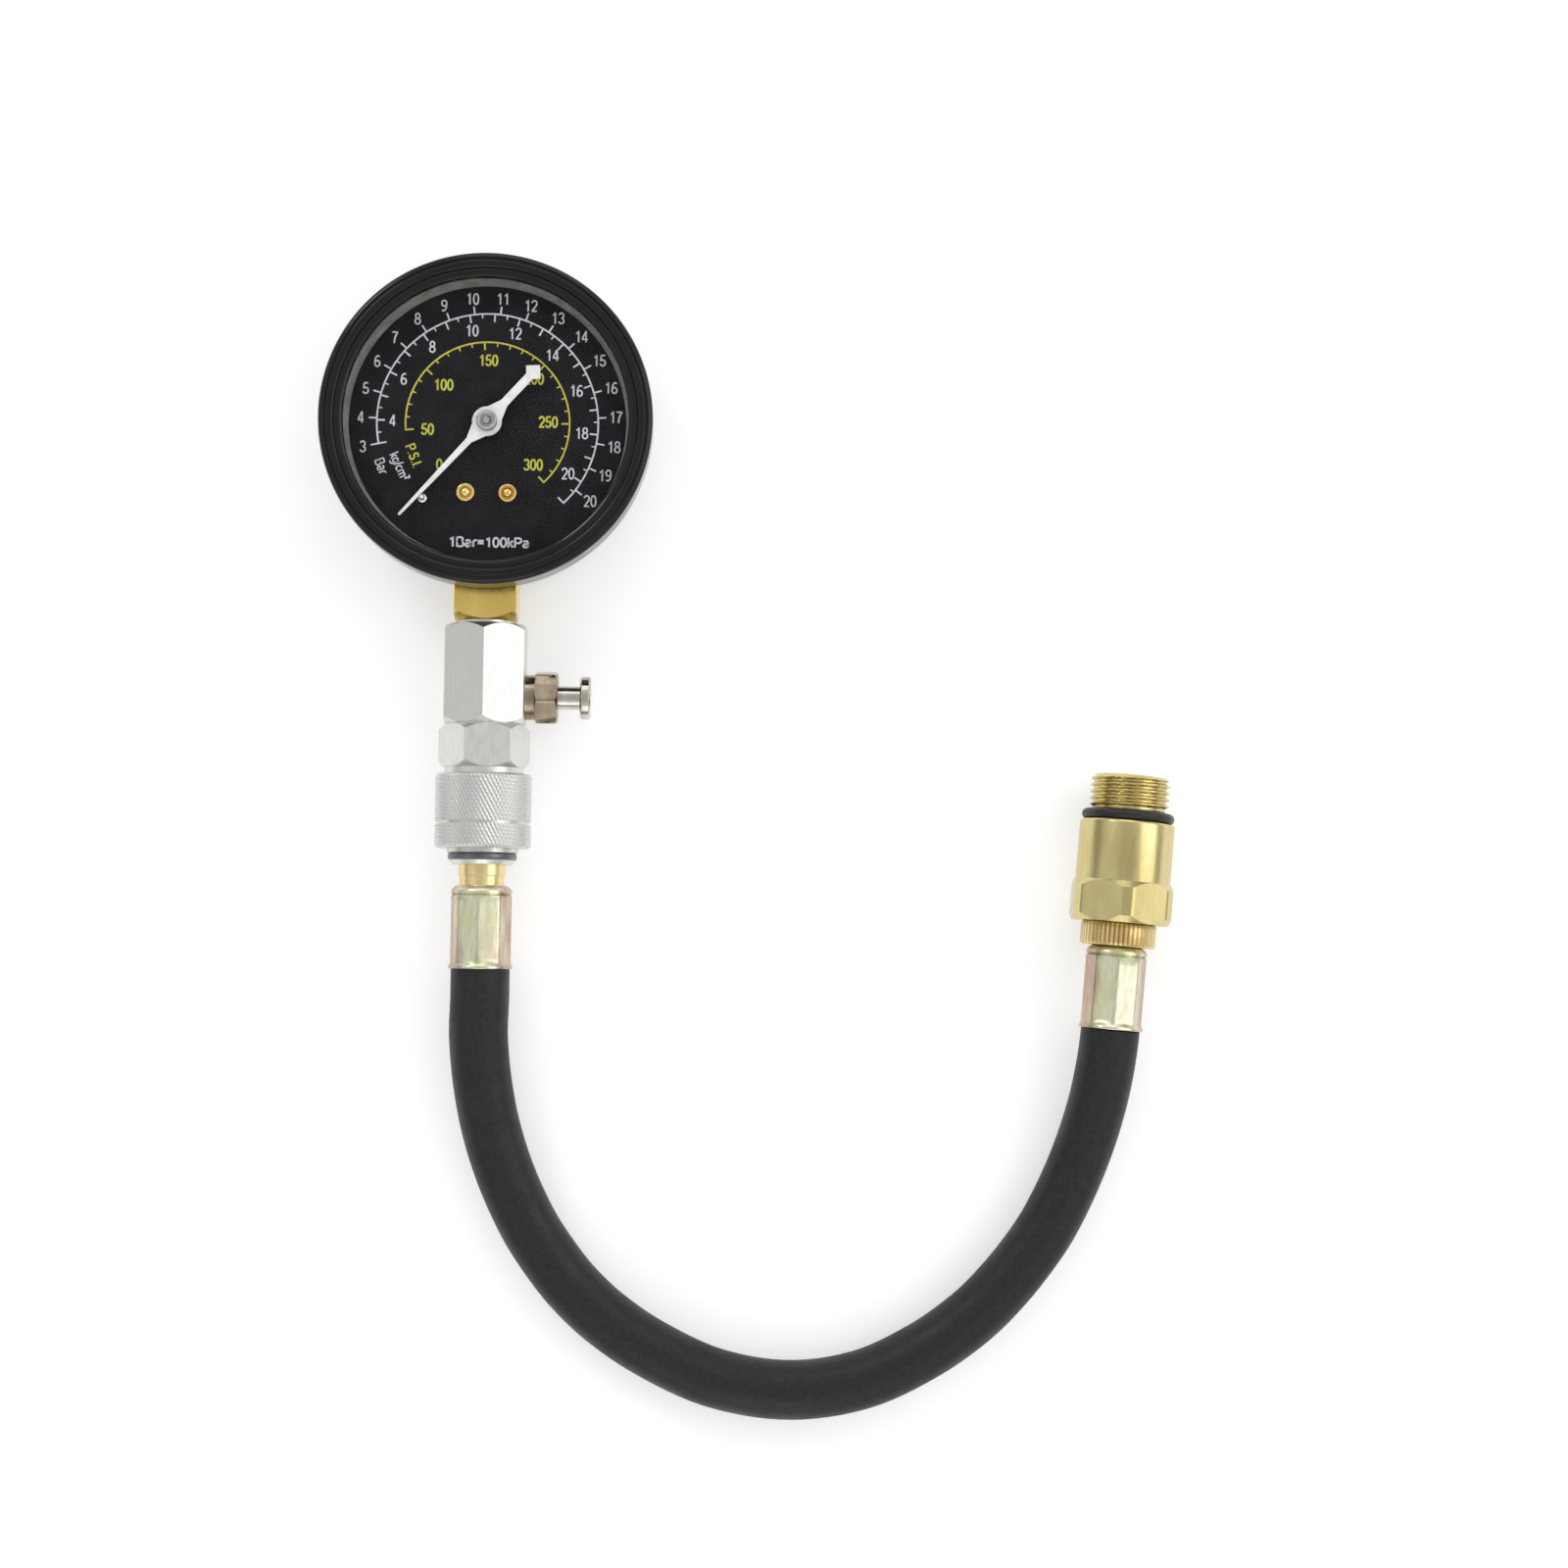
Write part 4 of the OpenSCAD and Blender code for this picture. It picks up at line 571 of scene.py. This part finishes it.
for word, height, x, y, at in (("Bar", 2.3, -23.4, -10.2, 201.3), ("kg/cm\u00b2", 2.2, -19.6, -10.2, 204.6)):
    white.append(lettering(word, height * mm, x * mm, y * mm, math.radians(at + 90), weight=0.28 * mm))
white.append(lettering("1Bar=100kPa", 2.3 * mm, 0.8 * mm, -26.8 * mm, weight=0.44 * mm, wide=17.9 * mm))
printed("white_scale", white, ink("white_ink", (214, 214, 222)))
first_psi, last_psi = 50, 300
psi_fine = np.array([p for p in range(first_psi + 10, last_psi, 10) if p % 50]) * bar_per_psi
psi_main = np.arange(first_psi, last_psi + 1, 50) * bar_per_psi
yellow = [arc(psi_r, angle_of(first_psi * bar_per_psi), angle_of(last_psi * bar_per_psi)),
          ticks(psi_main, psi_r - long_tick, psi_r + arc_w / 2, tick_w),
          ticks(psi_fine, psi_r - short_tick, psi_r, half_tick_w)]
for text, x, y in (("50", -13.4, -1.6), ("100", -9.9, 8.5), ("150", 0.0, 14.2), ("200", 10.2, 10.2),
                   ("250", 13.5, 0.5), ("300", 10.3, -9.2), ("0", -10.6, -9.5)):
    yellow.append(lettering(text, 2.6 * mm, x * mm, y * mm, weight=0.42 * mm))
yellow.append(lettering("P.S.I.", 2.3 * mm, -16.3 * mm, -7.6 * mm, math.radians(292), weight=0.36 * mm))
printed("yellow_scale", yellow, ink("yellow_ink", (196, 192, 78)))


def round_table(radius, height, angle):
    """Points round an axis: a row for each height and a column for each angle, at that distance from it."""
    radius, height, angle = np.broadcast_arrays(radius, height, angle)
    return np.stack([radius * np.cos(angle), radius * np.sin(angle), height], -1)


def turned(profile, columns=64):
    """Table of points of a part turned in a lathe, from its profile's distances and heights in millimetres."""
    radius, height = np.array(profile).T[:, :, None] * mm
    return round_table(radius, height, np.linspace(0, 2 * math.pi, columns, endpoint=False))


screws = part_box("dial_screws")
head_r = 2.05 * mm
head = turned([(1.4, -5), (1.4, 0), (1.95, 0), (2.05, 0.1), (2.05, 0.38), (1.93, 0.52), (1.72, 0.56), (1.5, 0.5),
               (1.4, 0.36), (1.3, 0.3), (1.16, 0.42), (1.12, 0.7), (1.0, 0.95), (0.8, 1.14), (0.5, 1.3), (0.2, 1.37),
               (0.02, 1.38)])
middle_y = (screws[0].y + screws[1].y) / 2
heads = [head + [x, middle_y, dial_top] for x in (screws[0].x + head_r, screws[1].x - head_r)]
dial_gold = turned_brass("screw_brass", (240, 212, 142), (214, 176, 100), 0.2)
fitted(skin("dial_screw_heads", *heads, closed=False, sharp=50), dial_gold, "gauge", "dial_screws")
pin_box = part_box("stop_pin")
pin_middle = [(pin_box[0].x + pin_box[1].x) / 2, (pin_box[0].y + pin_box[1].y) / 2, dial_top]
pin = turned([(0.65, -0.6), (0.65, 0.02), (1.15, 0.02), (1.15, 1.3), (1.0, 1.6), (0.65, 1.7), (0.65, 2.6), (0.6, 2.85),
              (0.45, 3.07), (0.25, 3.19), (0.02, 3.24)], columns=32)
fitted(skin("rest_pin", pin + pin_middle, closed=False, sharp=50), plain_steel("pin_steel", (252, 252, 252), 0.14),
       "gauge", "stop_pin")

# Pointer and hub
# Punched aluminium hand, painted white, with a round boss and a square tail, pressed on the pinion's end
# under a small grey cap with a dimple.
hand_white = Finish("hand_white", Specular_IOR_Level=0.4)
hand_white.color(hand_white.mix(hand_white.span(hand_white.noise(2 * mm, detail=5.0), 0.0, 1.0),
                                tint(214, 214, 212), tint(230, 230, 228)))
hand_white.rough(hand_white.span(hand_white.noise(1 * mm), 0.35, 0.5))
hand_white.press(hand_white.noise(0.4 * mm), 0.004 * mm)
tail_way = np.array([math.cos(math.radians(48)), math.sin(math.radians(48)), 0])


def longer_tail(points):
    """Moves the square at the tail's end two millimetres outwards."""
    return points + np.where(points @ tail_way > 8 * mm, 2 * mm, 0)[:, None] * tail_way


worked("hand", "pointer", 0.08 * mm, hand_white, "pointer", shape=longer_tail)
cap_steel = plain_steel("cap_grey", (182, 182, 184), 0.34)
cap = turned([(0.78, 20.8), (1.97, 20.8), (1.97, 21.79), (2.3, 21.79), (2.3, 23.1), (2.2, 23.28), (2.0, 23.36),
              (1.8, 23.36), (1.66, 23.2), (1.5, 23.12), (1.36, 23.2), (1.28, 23.34), (1.1, 23.36), (0.96, 23.22),
              (0.86, 23.1), (0.78, 23.06)])
fitted(skin("hand_cap", cap, sharp=50), cap_steel, "pointer", "pointer_hub")

# Lens and gasket
# Clear plastic disc on a grey rubber ring, which shows inside as the pale wall round the dial.
gasket_grey = Finish("gasket_grey", Specular_IOR_Level=0.3)
gasket_grey.color(gasket_grey.mix(gasket_grey.span(gasket_grey.noise(3 * mm, detail=5.0), 0.0, 1.0),
                                  tint(112, 112, 108), tint(138, 138, 133)))
gasket_grey.rough(gasket_grey.span(gasket_grey.noise(2 * mm), 0.55, 0.7))
gasket_grey.press(gasket_grey.noise(0.4 * mm), 0.006 * mm)
gasket = turned([(30.95, 19.2), (31.55, 23.3), (31.7, 23.8), (35.9, 23.8), (35.9, 23.0), (34.0, 23.0), (34.0, 19.2)],
                columns=192)
fitted(skin("gasket_ring", gasket), gasket_grey, "gauge", "lens_gasket")
clear = Finish("clear_lens", Transmission_Weight=1.0, IOR=1.12, Base_Color=(1, 1, 1, 1))
clear.rough(clear.span(clear.noise(10 * mm), 0.0, 0.02))
clear.press(clear.noise(14 * mm), 0.002 * mm)
# lamps' light passes the lens unbent, so that the dial behind it is lit
through = clear.node("ShaderNodeMixShader")
clear.tree.links.new(clear.tree.nodes.new("ShaderNodeLightPath").outputs["Is Shadow Ray"], through.inputs[0])
clear.tree.links.new(clear.shader.outputs[0], through.inputs[1])
clear.tree.links.new(clear.tree.nodes.new("ShaderNodeBsdfTransparent").outputs[0], through.inputs[2])
clear.tree.links.new(through.outputs[0], clear.tree.nodes["Material Output"].inputs["Surface"])
worked("lens_disc", "lens", 0, clear, "gauge")

# Bezel
# Rolled steel ring pressed over the case's rim, in the same enamel but glossier, so that its crown and its
# inner lip carry long soft highlights.
gloss = Finish("gloss_enamel", Specular_IOR_Level=0.3, Coat_Weight=0.12, Coat_Roughness=0.05)
gloss.color(gloss.mix(gloss.span(gloss.noise(4 * mm, detail=6.0), 0.0, 1.0), tint(8, 8, 9), tint(15, 15, 17)))
gloss.rough(gloss.span(gloss.noise(8 * mm), 0.12, 0.22))
gloss.press(gloss.noise(1.2 * mm), 0.008 * mm)
crown = [(35.83 + 1.2 * math.sin(a), 25.7 + 1.2 * math.cos(a)) for a in np.radians(np.arange(90, -1, -9))]
rolled = turned([(36.03, 18.5), (36.95, 18.5), (37.03, 18.6), *crown, (35.76, 26.86), (35.66, 26.62), (35.5, 26.6),
                 (35.38, 26.78), (35.2, 26.86), (34.6, 26.9), (33.95, 26.84), (33.68, 26.66), (33.6, 26.4),
                 (33.48, 26.22), (33.3, 26.22), (33.1, 26.3), (32.4, 26.2), (31.95, 26.04), (31.72, 25.86),
                 (31.63, 25.6), (31.63, 25.3), (36.03, 25.3)], columns=192)
fitted(skin("bezel_ring", rolled, sharp=45), gloss, "gauge", "bezel")


# Washer
# Soft aluminium crush washer between the stem's foot and the hexagon body.
def drawn_aluminium(name, shade, rough, line=0.2 * mm):
    """Extruded aluminium with faint drawing lines down the bar, a cloudy mottle and small handling marks."""
    finish = Finish(name, metallic=1.0)
    lines = finish.span(finish.noise(0.5 * mm, stretch=(1, 30, 1), detail=4.0), 0.0, 0.5)
    cloud = finish.span(finish.noise(6 * mm, detail=4.0), 0.0, 1.0)
    drawn = finish.mix(lines, tint(*shade), tint(*(0.93 * c for c in shade)))
    finish.color(finish.mix(cloud, drawn, tint(*(0.97 * c for c in shade))))
    finish.rough(finish.span(finish.noise(0.6 * mm, stretch=(1, 5, 1)), rough - 0.05, rough + 0.1))
    finish.press(finish.noise(line, stretch=(1, 25, 1), detail=2.0), 0.004 * mm)
    return finish


bar_aluminium = drawn_aluminium("bar_aluminium", (226, 226, 221), 0.34)
worked("crush_washer", "stem_washer", 0.1 * mm, bar_aluminium, "gauge")

# Hexagon body
# A length of 18 mm hexagonal aluminium bar, faced and chamfered at both ends, bored through for the air and
# tapped on one flat for the bleed valve.
hex_face_r, hex_corner_r, hex_steep = 8.9 * mm, 10.288 * mm, 1.75
worked("body_bar", "hexagon_body", 0.12 * mm, bar_aluminium, "gauge", crease=22.0,
       shape=cut_back(44.6 * mm, 67.0 * mm, hex_face_r, hex_corner_r, hex_steep))


# Bleed valve
# Nickel-plated brass body with a small hexagon, screwed into the flat, and a sprung plunger with a round
# button that lets the held pressure out.
def nickel_plate(name, light, dark, rough, line=0.15 * mm):
    """Bright nickel over turned brass, with a warm cast and fine rings across the valve's axis."""
    finish = Finish(name, metallic=1.0)
    cast = finish.span(finish.noise(5 * mm, stretch=(1, 2, 2)), 0.0, 1.0)
    finish.color(finish.mix(cast, tint(*dark), tint(*light)))
    finish.rough(finish.span(finish.noise(0.7 * mm), rough - 0.06, rough + 0.08))
    finish.press(finish.noise(line, stretch=(1, 30, 30), detail=2.0), 0.002 * mm)
    return finish


valve_nickel = nickel_plate("valve_nickel", (172, 160, 140), (140, 126, 106), 0.16)
worked("bleed_housing", "bleed_body", 0.12 * mm, valve_nickel, "gauge")
button_nickel = nickel_plate("button_nickel", (212, 208, 198), (176, 170, 158), 0.1)
worked("bleed_stem", "bleed_plunger", 0.08 * mm, button_nickel, "bleed_plunger")
worked("bleed_push", "bleed_button", 0.08 * mm, button_nickel, "bleed_plunger")
seal_rubber = Finish("seal_rubber", Specular_IOR_Level=0.45)
seal_rubber.color(seal_rubber.mix(seal_rubber.span(seal_rubber.noise(1 * mm), 0.0, 1.0), tint(22, 22, 23),
                                  tint(36, 36, 37)))
seal_rubber.rough(seal_rubber.span(seal_rubber.noise(2 * mm), 0.35, 0.5))
seal_rubber.press(seal_rubber.noise(0.3 * mm), 0.008 * mm)
fit_out(["bleed_seal"], seal_rubber)
bleed_coil = worked("bleed_coil", "bleed_spring", 0, pivot_steel, "gauge", crease=80.0)
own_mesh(bleed_coil)

# Quick coupler body
# Aluminium tube with a hexagon at its top, screwed on the body's spigot. Six steel balls in its wall hold
# the plug, and a rubber ring inside seals it.
worked("coupler_bar", "coupler_body", 0.12 * mm, bar_aluminium, "gauge", crease=22.0,
       shape=cut_back(67.0 * mm, 76.9 * mm, hex_face_r, hex_corner_r, hex_steep))
fit_out(["plug_seal"], seal_rubber)
fit_out([f"lock_ball_{k}" for k in range(1, 7)], plain_steel("ball_steel", (206, 208, 212), 0.12))
sleeve_coil = worked("sleeve_coil", "sleeve_spring", 0, pivot_steel, "gauge", crease=80.0)
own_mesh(sleeve_coil)


# Sleeve
# Bright turned sleeve that is pulled back to free the plug. Two rolled spirals cross into a diamond knurl,
# a plain groove runs round it, and a polished lip shows at its foot.
def on_leg(points, t):
    """Puts points whose z runs down the leg, from a distance under the gauge's centre, into place."""
    x, y, z = np.moveaxis(points, -1, 0)
    return np.stack([x, -t - z, leg_z + y], -1)


sleeve_top = 78.2 * mm
sleeve_r = 10.8 * mm
sleeve_len = 16.7 * mm
knurl_deep, knurl_faint = 0.24 * mm, 0.13 * mm
knurl_count = 72
knurl_rise = 1.7 * mm
groove_from, groove_to = 10.7 * mm, 11.3 * mm
turn = np.linspace(0, 2 * math.pi, knurl_count * 8, endpoint=False)
down = np.unique(np.concatenate([np.linspace(0, sleeve_len, 90), [0.7 * mm, sleeve_len - 0.7 * mm, groove_from,
                                 groove_from + 0.01 * mm, groove_to - 0.01 * mm, groove_to]]))
plain = np.interp(down, np.array([0, 0.5, 10.7, 10.71, 11.29, 11.3, 16.2, 16.7]) * mm,
                  sleeve_r - np.array([0.6, 0, 0, 0.5, 0.5, 0, 0, 0.6]) * mm)
u = knurl_count * turn[None] / (2 * math.pi) + down[:, None] / knurl_rise
v = knurl_count * turn[None] / (2 * math.pi) - down[:, None] / knurl_rise
# each spiral groove is a V in the wall, one deeper than the other, and the diamonds are what both leave standing
cut_in = np.maximum(knurl_deep * (1 - np.abs(2 * (u % 1) - 1)), knurl_faint * (1 - np.abs(2 * (v % 1) - 1)))
groove = (down > groove_from) & (down < groove_to)
outer = plain[:, None] - np.where(groove[:, None], 0.0, cut_in)
inner_r = np.array([8.05, 8.05, 7.45, 7.45, 9.32, 9.32, 7.45, 7.45, 8.95, 8.95]) * mm
inner_z = np.array([16.7, 17.65, 17.7, 15.2, 15.2, 11.93, 9.86, 7.2, 7.2, 0.0]) * mm
table_r = np.vstack([outer, np.repeat(inner_r[:, None], len(turn), 1)])
table_z = np.concatenate([down, inner_z])[:, None]
sleeve = skin("knurled_sleeve", on_leg(round_table(table_r, table_z, turn), sleeve_top), sharp=35)
fitted(sleeve, drawn_aluminium("knurl_metal", (216, 216, 213), 0.3), "sleeve", "sleeve")
ring_steel = plain_steel("ring_steel", (120, 120, 124), 0.3)
worked("snap_ring_wire", "snap_ring", 0.1 * mm, ring_steel, "gauge",
       shape=lambda points: points * [-1, 1, -1] + [0, 0, 2 * leg_z])

# Plug
# Brass plug that snaps into the coupler; only its pale waist shows above the hose's ferrule.
plug_brass = turned_brass("plug_brass", (246, 226, 172), (224, 190, 128), 0.26, streak=1.2 * mm)
worked("plug_waist", "plug", 0.1 * mm, plug_brass, "hose_side")


# Ferrules
# Thin steel cups, zinc plated and passivated to a yellow-green and pink tint and darkened by painted shade towards
# their sides, crimped on the hose by eight dies, so they are round at the rolled top and the flared lip and
# eight-sided between.
def ferrule_table(corner_at):
    """Table of a ferrule from its lip: a round cup whose middle is pressed to eight flats, and its bore."""
    angle = np.radians(corner_at + np.arange(0, 360, 1.875))
    flat_half, corner_r, length = 6.4 * mm, 6.8 * mm, 18.7 * mm
    nearest = (angle - math.radians(corner_at) + math.pi / 8) % (math.pi / 4) - math.pi / 8
    flats = np.minimum(flat_half / np.cos(math.pi / 8 - np.abs(nearest)), corner_r)
    z = np.array([0, 0.06, 0.2, 0.55, 0.8, 1.0, 1.3, 1.7, 2.4, 8.0, 14.4, 15.2, 15.7, 16.1, 16.3, 16.45, 16.6,
                  16.75, 16.9, 17.1, 17.4, 17.75, 18.05, 18.35, 18.55, 18.7]) * mm
    cup = np.array([7.0, 7.14, 7.2, 7.18, 7.05, 6.95, 6.88, 6.86, 6.85, 6.85, 6.85, 6.85, 6.85, 6.85, 6.84, 6.65,
                    6.5, 6.65, 6.84, 6.85, 6.83, 6.68, 6.45, 6.1, 5.75, 5.45]) * mm
    pressed = np.interp(z, np.array([0.8, 2.0, 15.0, 16.2]) * mm, [0, 1, 1, 0])
    pressed = pressed * pressed * (3 - 2 * pressed)
    outer = cup[:, None] * (1 - pressed[:, None]) + flats[None] * pressed[:, None]
    inner_r = np.array([5.03, 5.03, 5.7, 5.7]) * mm
    inner_z = np.array([18.7, 17.5, 17.5, 0]) * mm
    radius = np.vstack([outer, np.repeat(inner_r[:, None], len(angle), 1)])
    return round_table(radius, np.concatenate([z, inner_z])[:, None], angle)


def zinc_sheen(name, middle_x, turn=0.0):
    """Yellow passivated zinc: pale straw that drifts to green in patches and to pink in others; painted shade turns it
    a darker pink-brown towards the sides of the cup, whose middle lies at middle_x; and fine scratches."""
    finish = Finish(name, metallic=1.0, turn=turn)
    green = finish.span(finish.noise(3.2 * mm, stretch=(1, 3, 1)), 0.0, 1.0)
    patch = finish.span(finish.noise(2.6 * mm, stretch=(1, 4, 1), at=(3, 1, 2)), -0.35, 0.35)
    # painted shade: the colour darkens with the distance across the view from the cup's middle at middle_x, towards
    # the sides where the round cup turns from the light
    split = finish.node("ShaderNodeSeparateXYZ", Vector=finish.place.outputs[0])
    off = finish.node("ShaderNodeMath", {"operation": "SUBTRACT"}, Value=split.outputs[0])
    off.inputs[1].default_value = middle_x
    far = finish.node("ShaderNodeMath", {"operation": "ABSOLUTE"}, Value=off.outputs[0])
    side = finish.span(far.outputs[0], 0.0, 1.0, low=3.0 * mm, high=6.2 * mm)
    # this mask adds the zinc's own random pink patches to that painted side shade
    pink_patches_and_side_shade = finish.node("ShaderNodeMath", {"operation": "ADD", "use_clamp": True}, Value=side)
    finish.tree.links.new(patch, pink_patches_and_side_shade.inputs[1])
    straw = finish.mix(green, tint(232, 226, 204), tint(212, 220, 174))
    # the dull pink-brown is partly the zinc's pink tint and partly painted shade at the cup's sides
    zinc_tint_and_side_shade = finish.mix(pink_patches_and_side_shade.outputs[0], straw, tint(184, 160, 142))
    scratch = finish.span(finish.noise(0.25 * mm, stretch=(1, 14, 1), detail=5.0, at=(5, 0, 1)), 0.0, 0.5, low=0.52)
    finish.color(finish.mix(scratch, zinc_tint_and_side_shade, tint(186, 176, 158)))
    finish.rough(finish.span(finish.noise(1.4 * mm), 0.22, 0.36))
    finish.press(finish.noise(0.8 * mm, stretch=(1, 4, 1)), 0.004 * mm)
    return finish


upper_cup = ferrule_table(-4) * [1, -1, -1]
upper = skin("upper_crimp", on_leg(upper_cup, -lip_y), sharp=25)
fitted(upper, zinc_sheen("zinc_upper", 0.0), "hose_side", "upper_ferrule")


def on_far(points, u=0.0):
    """Puts points whose z runs up the far fitting, from a distance above its lip, into place."""
    x, y, z = np.moveaxis(points, -1, 0)
    side = np.array([math.cos(far_lean), -math.sin(far_lean), 0])
    return far_lip + x[..., None] * side - y[..., None] * [0, 0, 1] + (z[..., None] + u) * far_up


lower = skin("lower_crimp", on_far(ferrule_table(-4)), sharp=25)
# the finish's own x runs across the leaning fitting, so that the painted side shade centres on the cup
far_x = float(far_lip[0] * math.cos(far_lean) - far_lip[1] * math.sin(far_lean))
fitted(lower, zinc_sheen("zinc_lower", far_x, turn=far_lean), "hose_side", "lower_ferrule")

# Hose end and check valve
# Brass tail with a straight-knurled collar that is turned by hand, a rubber ring and a small check valve
# inside that holds the highest reading.
ribs, rib_cut = 50, 0.5 * mm
spin = np.linspace(0, 2 * math.pi, ribs * 8, endpoint=False)
# flat crests with a V groove between them, faded out at the collar's rounded ends
groove_in = rib_cut * np.clip(1 - np.abs(2 * (spin * ribs / (2 * math.pi) % 1) - 1) / 0.5, 0, 1)
profile = np.array([(2.0, 0.4, 0), (3.3, 0.4, 0), (3.7, 3.5, 0), (3.3, 3.6, 0), (3.7, 6.5, 0), (3.3, 6.6, 0),
                    (3.7, 9.5, 0), (3.3, 9.6, 0), (3.7, 12.5, 0), (3.3, 12.6, 0), (3.3, 17.2, 0), (5.0, 17.2, 0),
                    (5.0, 18.7, 0), (7.7, 18.7, 0), (8.1, 18.8, 0.2), (8.35, 19.05, 0.7), (8.5, 19.5, 1),
                    (8.5, 23.3, 1), (8.3, 23.7, 0.7), (7.9, 24.0, 0), (6.4, 24.0, 0), (6.4, 26.0, 0), (6.9, 26.0, 0),
                    (6.9, 35.5, 0), (2.65, 35.5, 0), (2.65, 26.7, 0), (2.0, 26.7, 0)])
collar_points = round_table(profile[:, :1] * mm - profile[:, 2:] * groove_in, profile[:, 1:2] * mm, spin)
collar_brass = turned_brass("collar_brass", (236, 216, 164), (212, 184, 130), 0.3, turn=far_lean)
fitted(skin("collar", on_far(collar_points), sharp=30), collar_brass, "hose_side", "hose_end")
fit_out(["valve_core_body"], movement_brass)
fit_out(["valve_pin"], pivot_steel)
valve_coil = worked("valve_coil", "valve_spring", 0, pivot_steel, "hose_side", crease=80.0)
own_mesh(valve_coil)
fit_out(["valve_seal", "collar_o_ring"], seal_rubber)


# Adapter
# Brass spark plug adapter in one piece: a 22 mm hexagon with its corners turned, a round shank, a groove
# for the sealing ring and an M18 thread of 1.5 mm pitch.
adapter_from = 24.0 * mm
hex_half, corner_r, face_r = 11.0 * mm, 12.0 * mm, 10.9 * mm
sector = np.concatenate([np.linspace(-23.6, 23.6, 17), np.linspace(26, 34, 5)])
around = np.radians(27.6 - 30 + (sector[None] + 60 * np.arange(6)[:, None]).ravel())
from_flat = np.concatenate([sector[:17], 60 - sector[17:]])
from_flat = np.radians(np.tile(np.where(np.abs(from_flat) > 30, 60 - np.abs(from_flat), from_flat), 6))
hexagon = np.minimum(hex_half / np.cos(from_flat), corner_r)
cut = (hexagon - face_r) * 1.35
hex_len, shank_r, shank_end, root_r = 9.3 * mm, 10.7 * mm, 22.9 * mm, 8.0 * mm
neck_end, thread_end = 26.2 * mm, 33.2 * mm
pitch, crest_r, thread_depth = 1.5 * mm, 9.0 * mm, 0.9 * mm
rows = [(np.full_like(around, face_r), np.zeros_like(around)), (hexagon, cut), (hexagon, hex_len - cut),
        *((np.full_like(around, r * mm), np.full_like(around, z * mm)) for r, z in (
            (10.9, 9.3), (10.7, 9.32), (10.7, 22.3), (10.65, 22.5), (10.4, 22.8), (10.1, 22.9), (8.0, 22.9),
            (8.0, 25.45), (8.3, 25.5)))]
climb = np.arange(neck_end - 0.6 * mm, thread_end - 0.01 * mm, pitch / 16)[:, None]
# the thread's flank rises from its root to its crest and back once a turn, faded in over its first half turn
wave = np.abs(2 * ((climb / pitch - around[None] / (2 * math.pi)) % 1) - 1)
fade = np.clip((climb - neck_end + 0.6 * mm) / (0.8 * mm), 0, 1)
thread = crest_r - thread_depth * (1 - fade * np.clip((wave - 0.2) / 0.62, 0, 1))
thread = np.minimum(thread, crest_r - np.clip(climb - thread_end + 0.8 * mm, 0, None))
rows += [(r, np.full_like(around, z)) for r, z in zip(thread, climb[:, 0])]
rows += [(np.full_like(around, r * mm), np.full_like(around, z * mm)) for r, z in (
    (8.0, 33.2), (5.5, 33.2), (5.0, 32.9), (5.0, 12.5), (6.95, 12.5), (6.95, 1.8), (8.15, 1.8), (8.15, 0))]
radius, height = (np.array(part) for part in zip(*rows))
adapter = skin("plug_hole_adapter", on_far(round_table(radius, height, around), adapter_from), sharp=30)
adapter_brass = turned_brass("adapter_brass", (218, 204, 148), (190, 172, 114), 0.22, turn=far_lean,
                             streak=1.4 * mm)
fitted(adapter, adapter_brass, "hose_side", "adapter")
worked("sealing_ring", "adapter_o_ring", 0, seal_rubber, "hose_side")
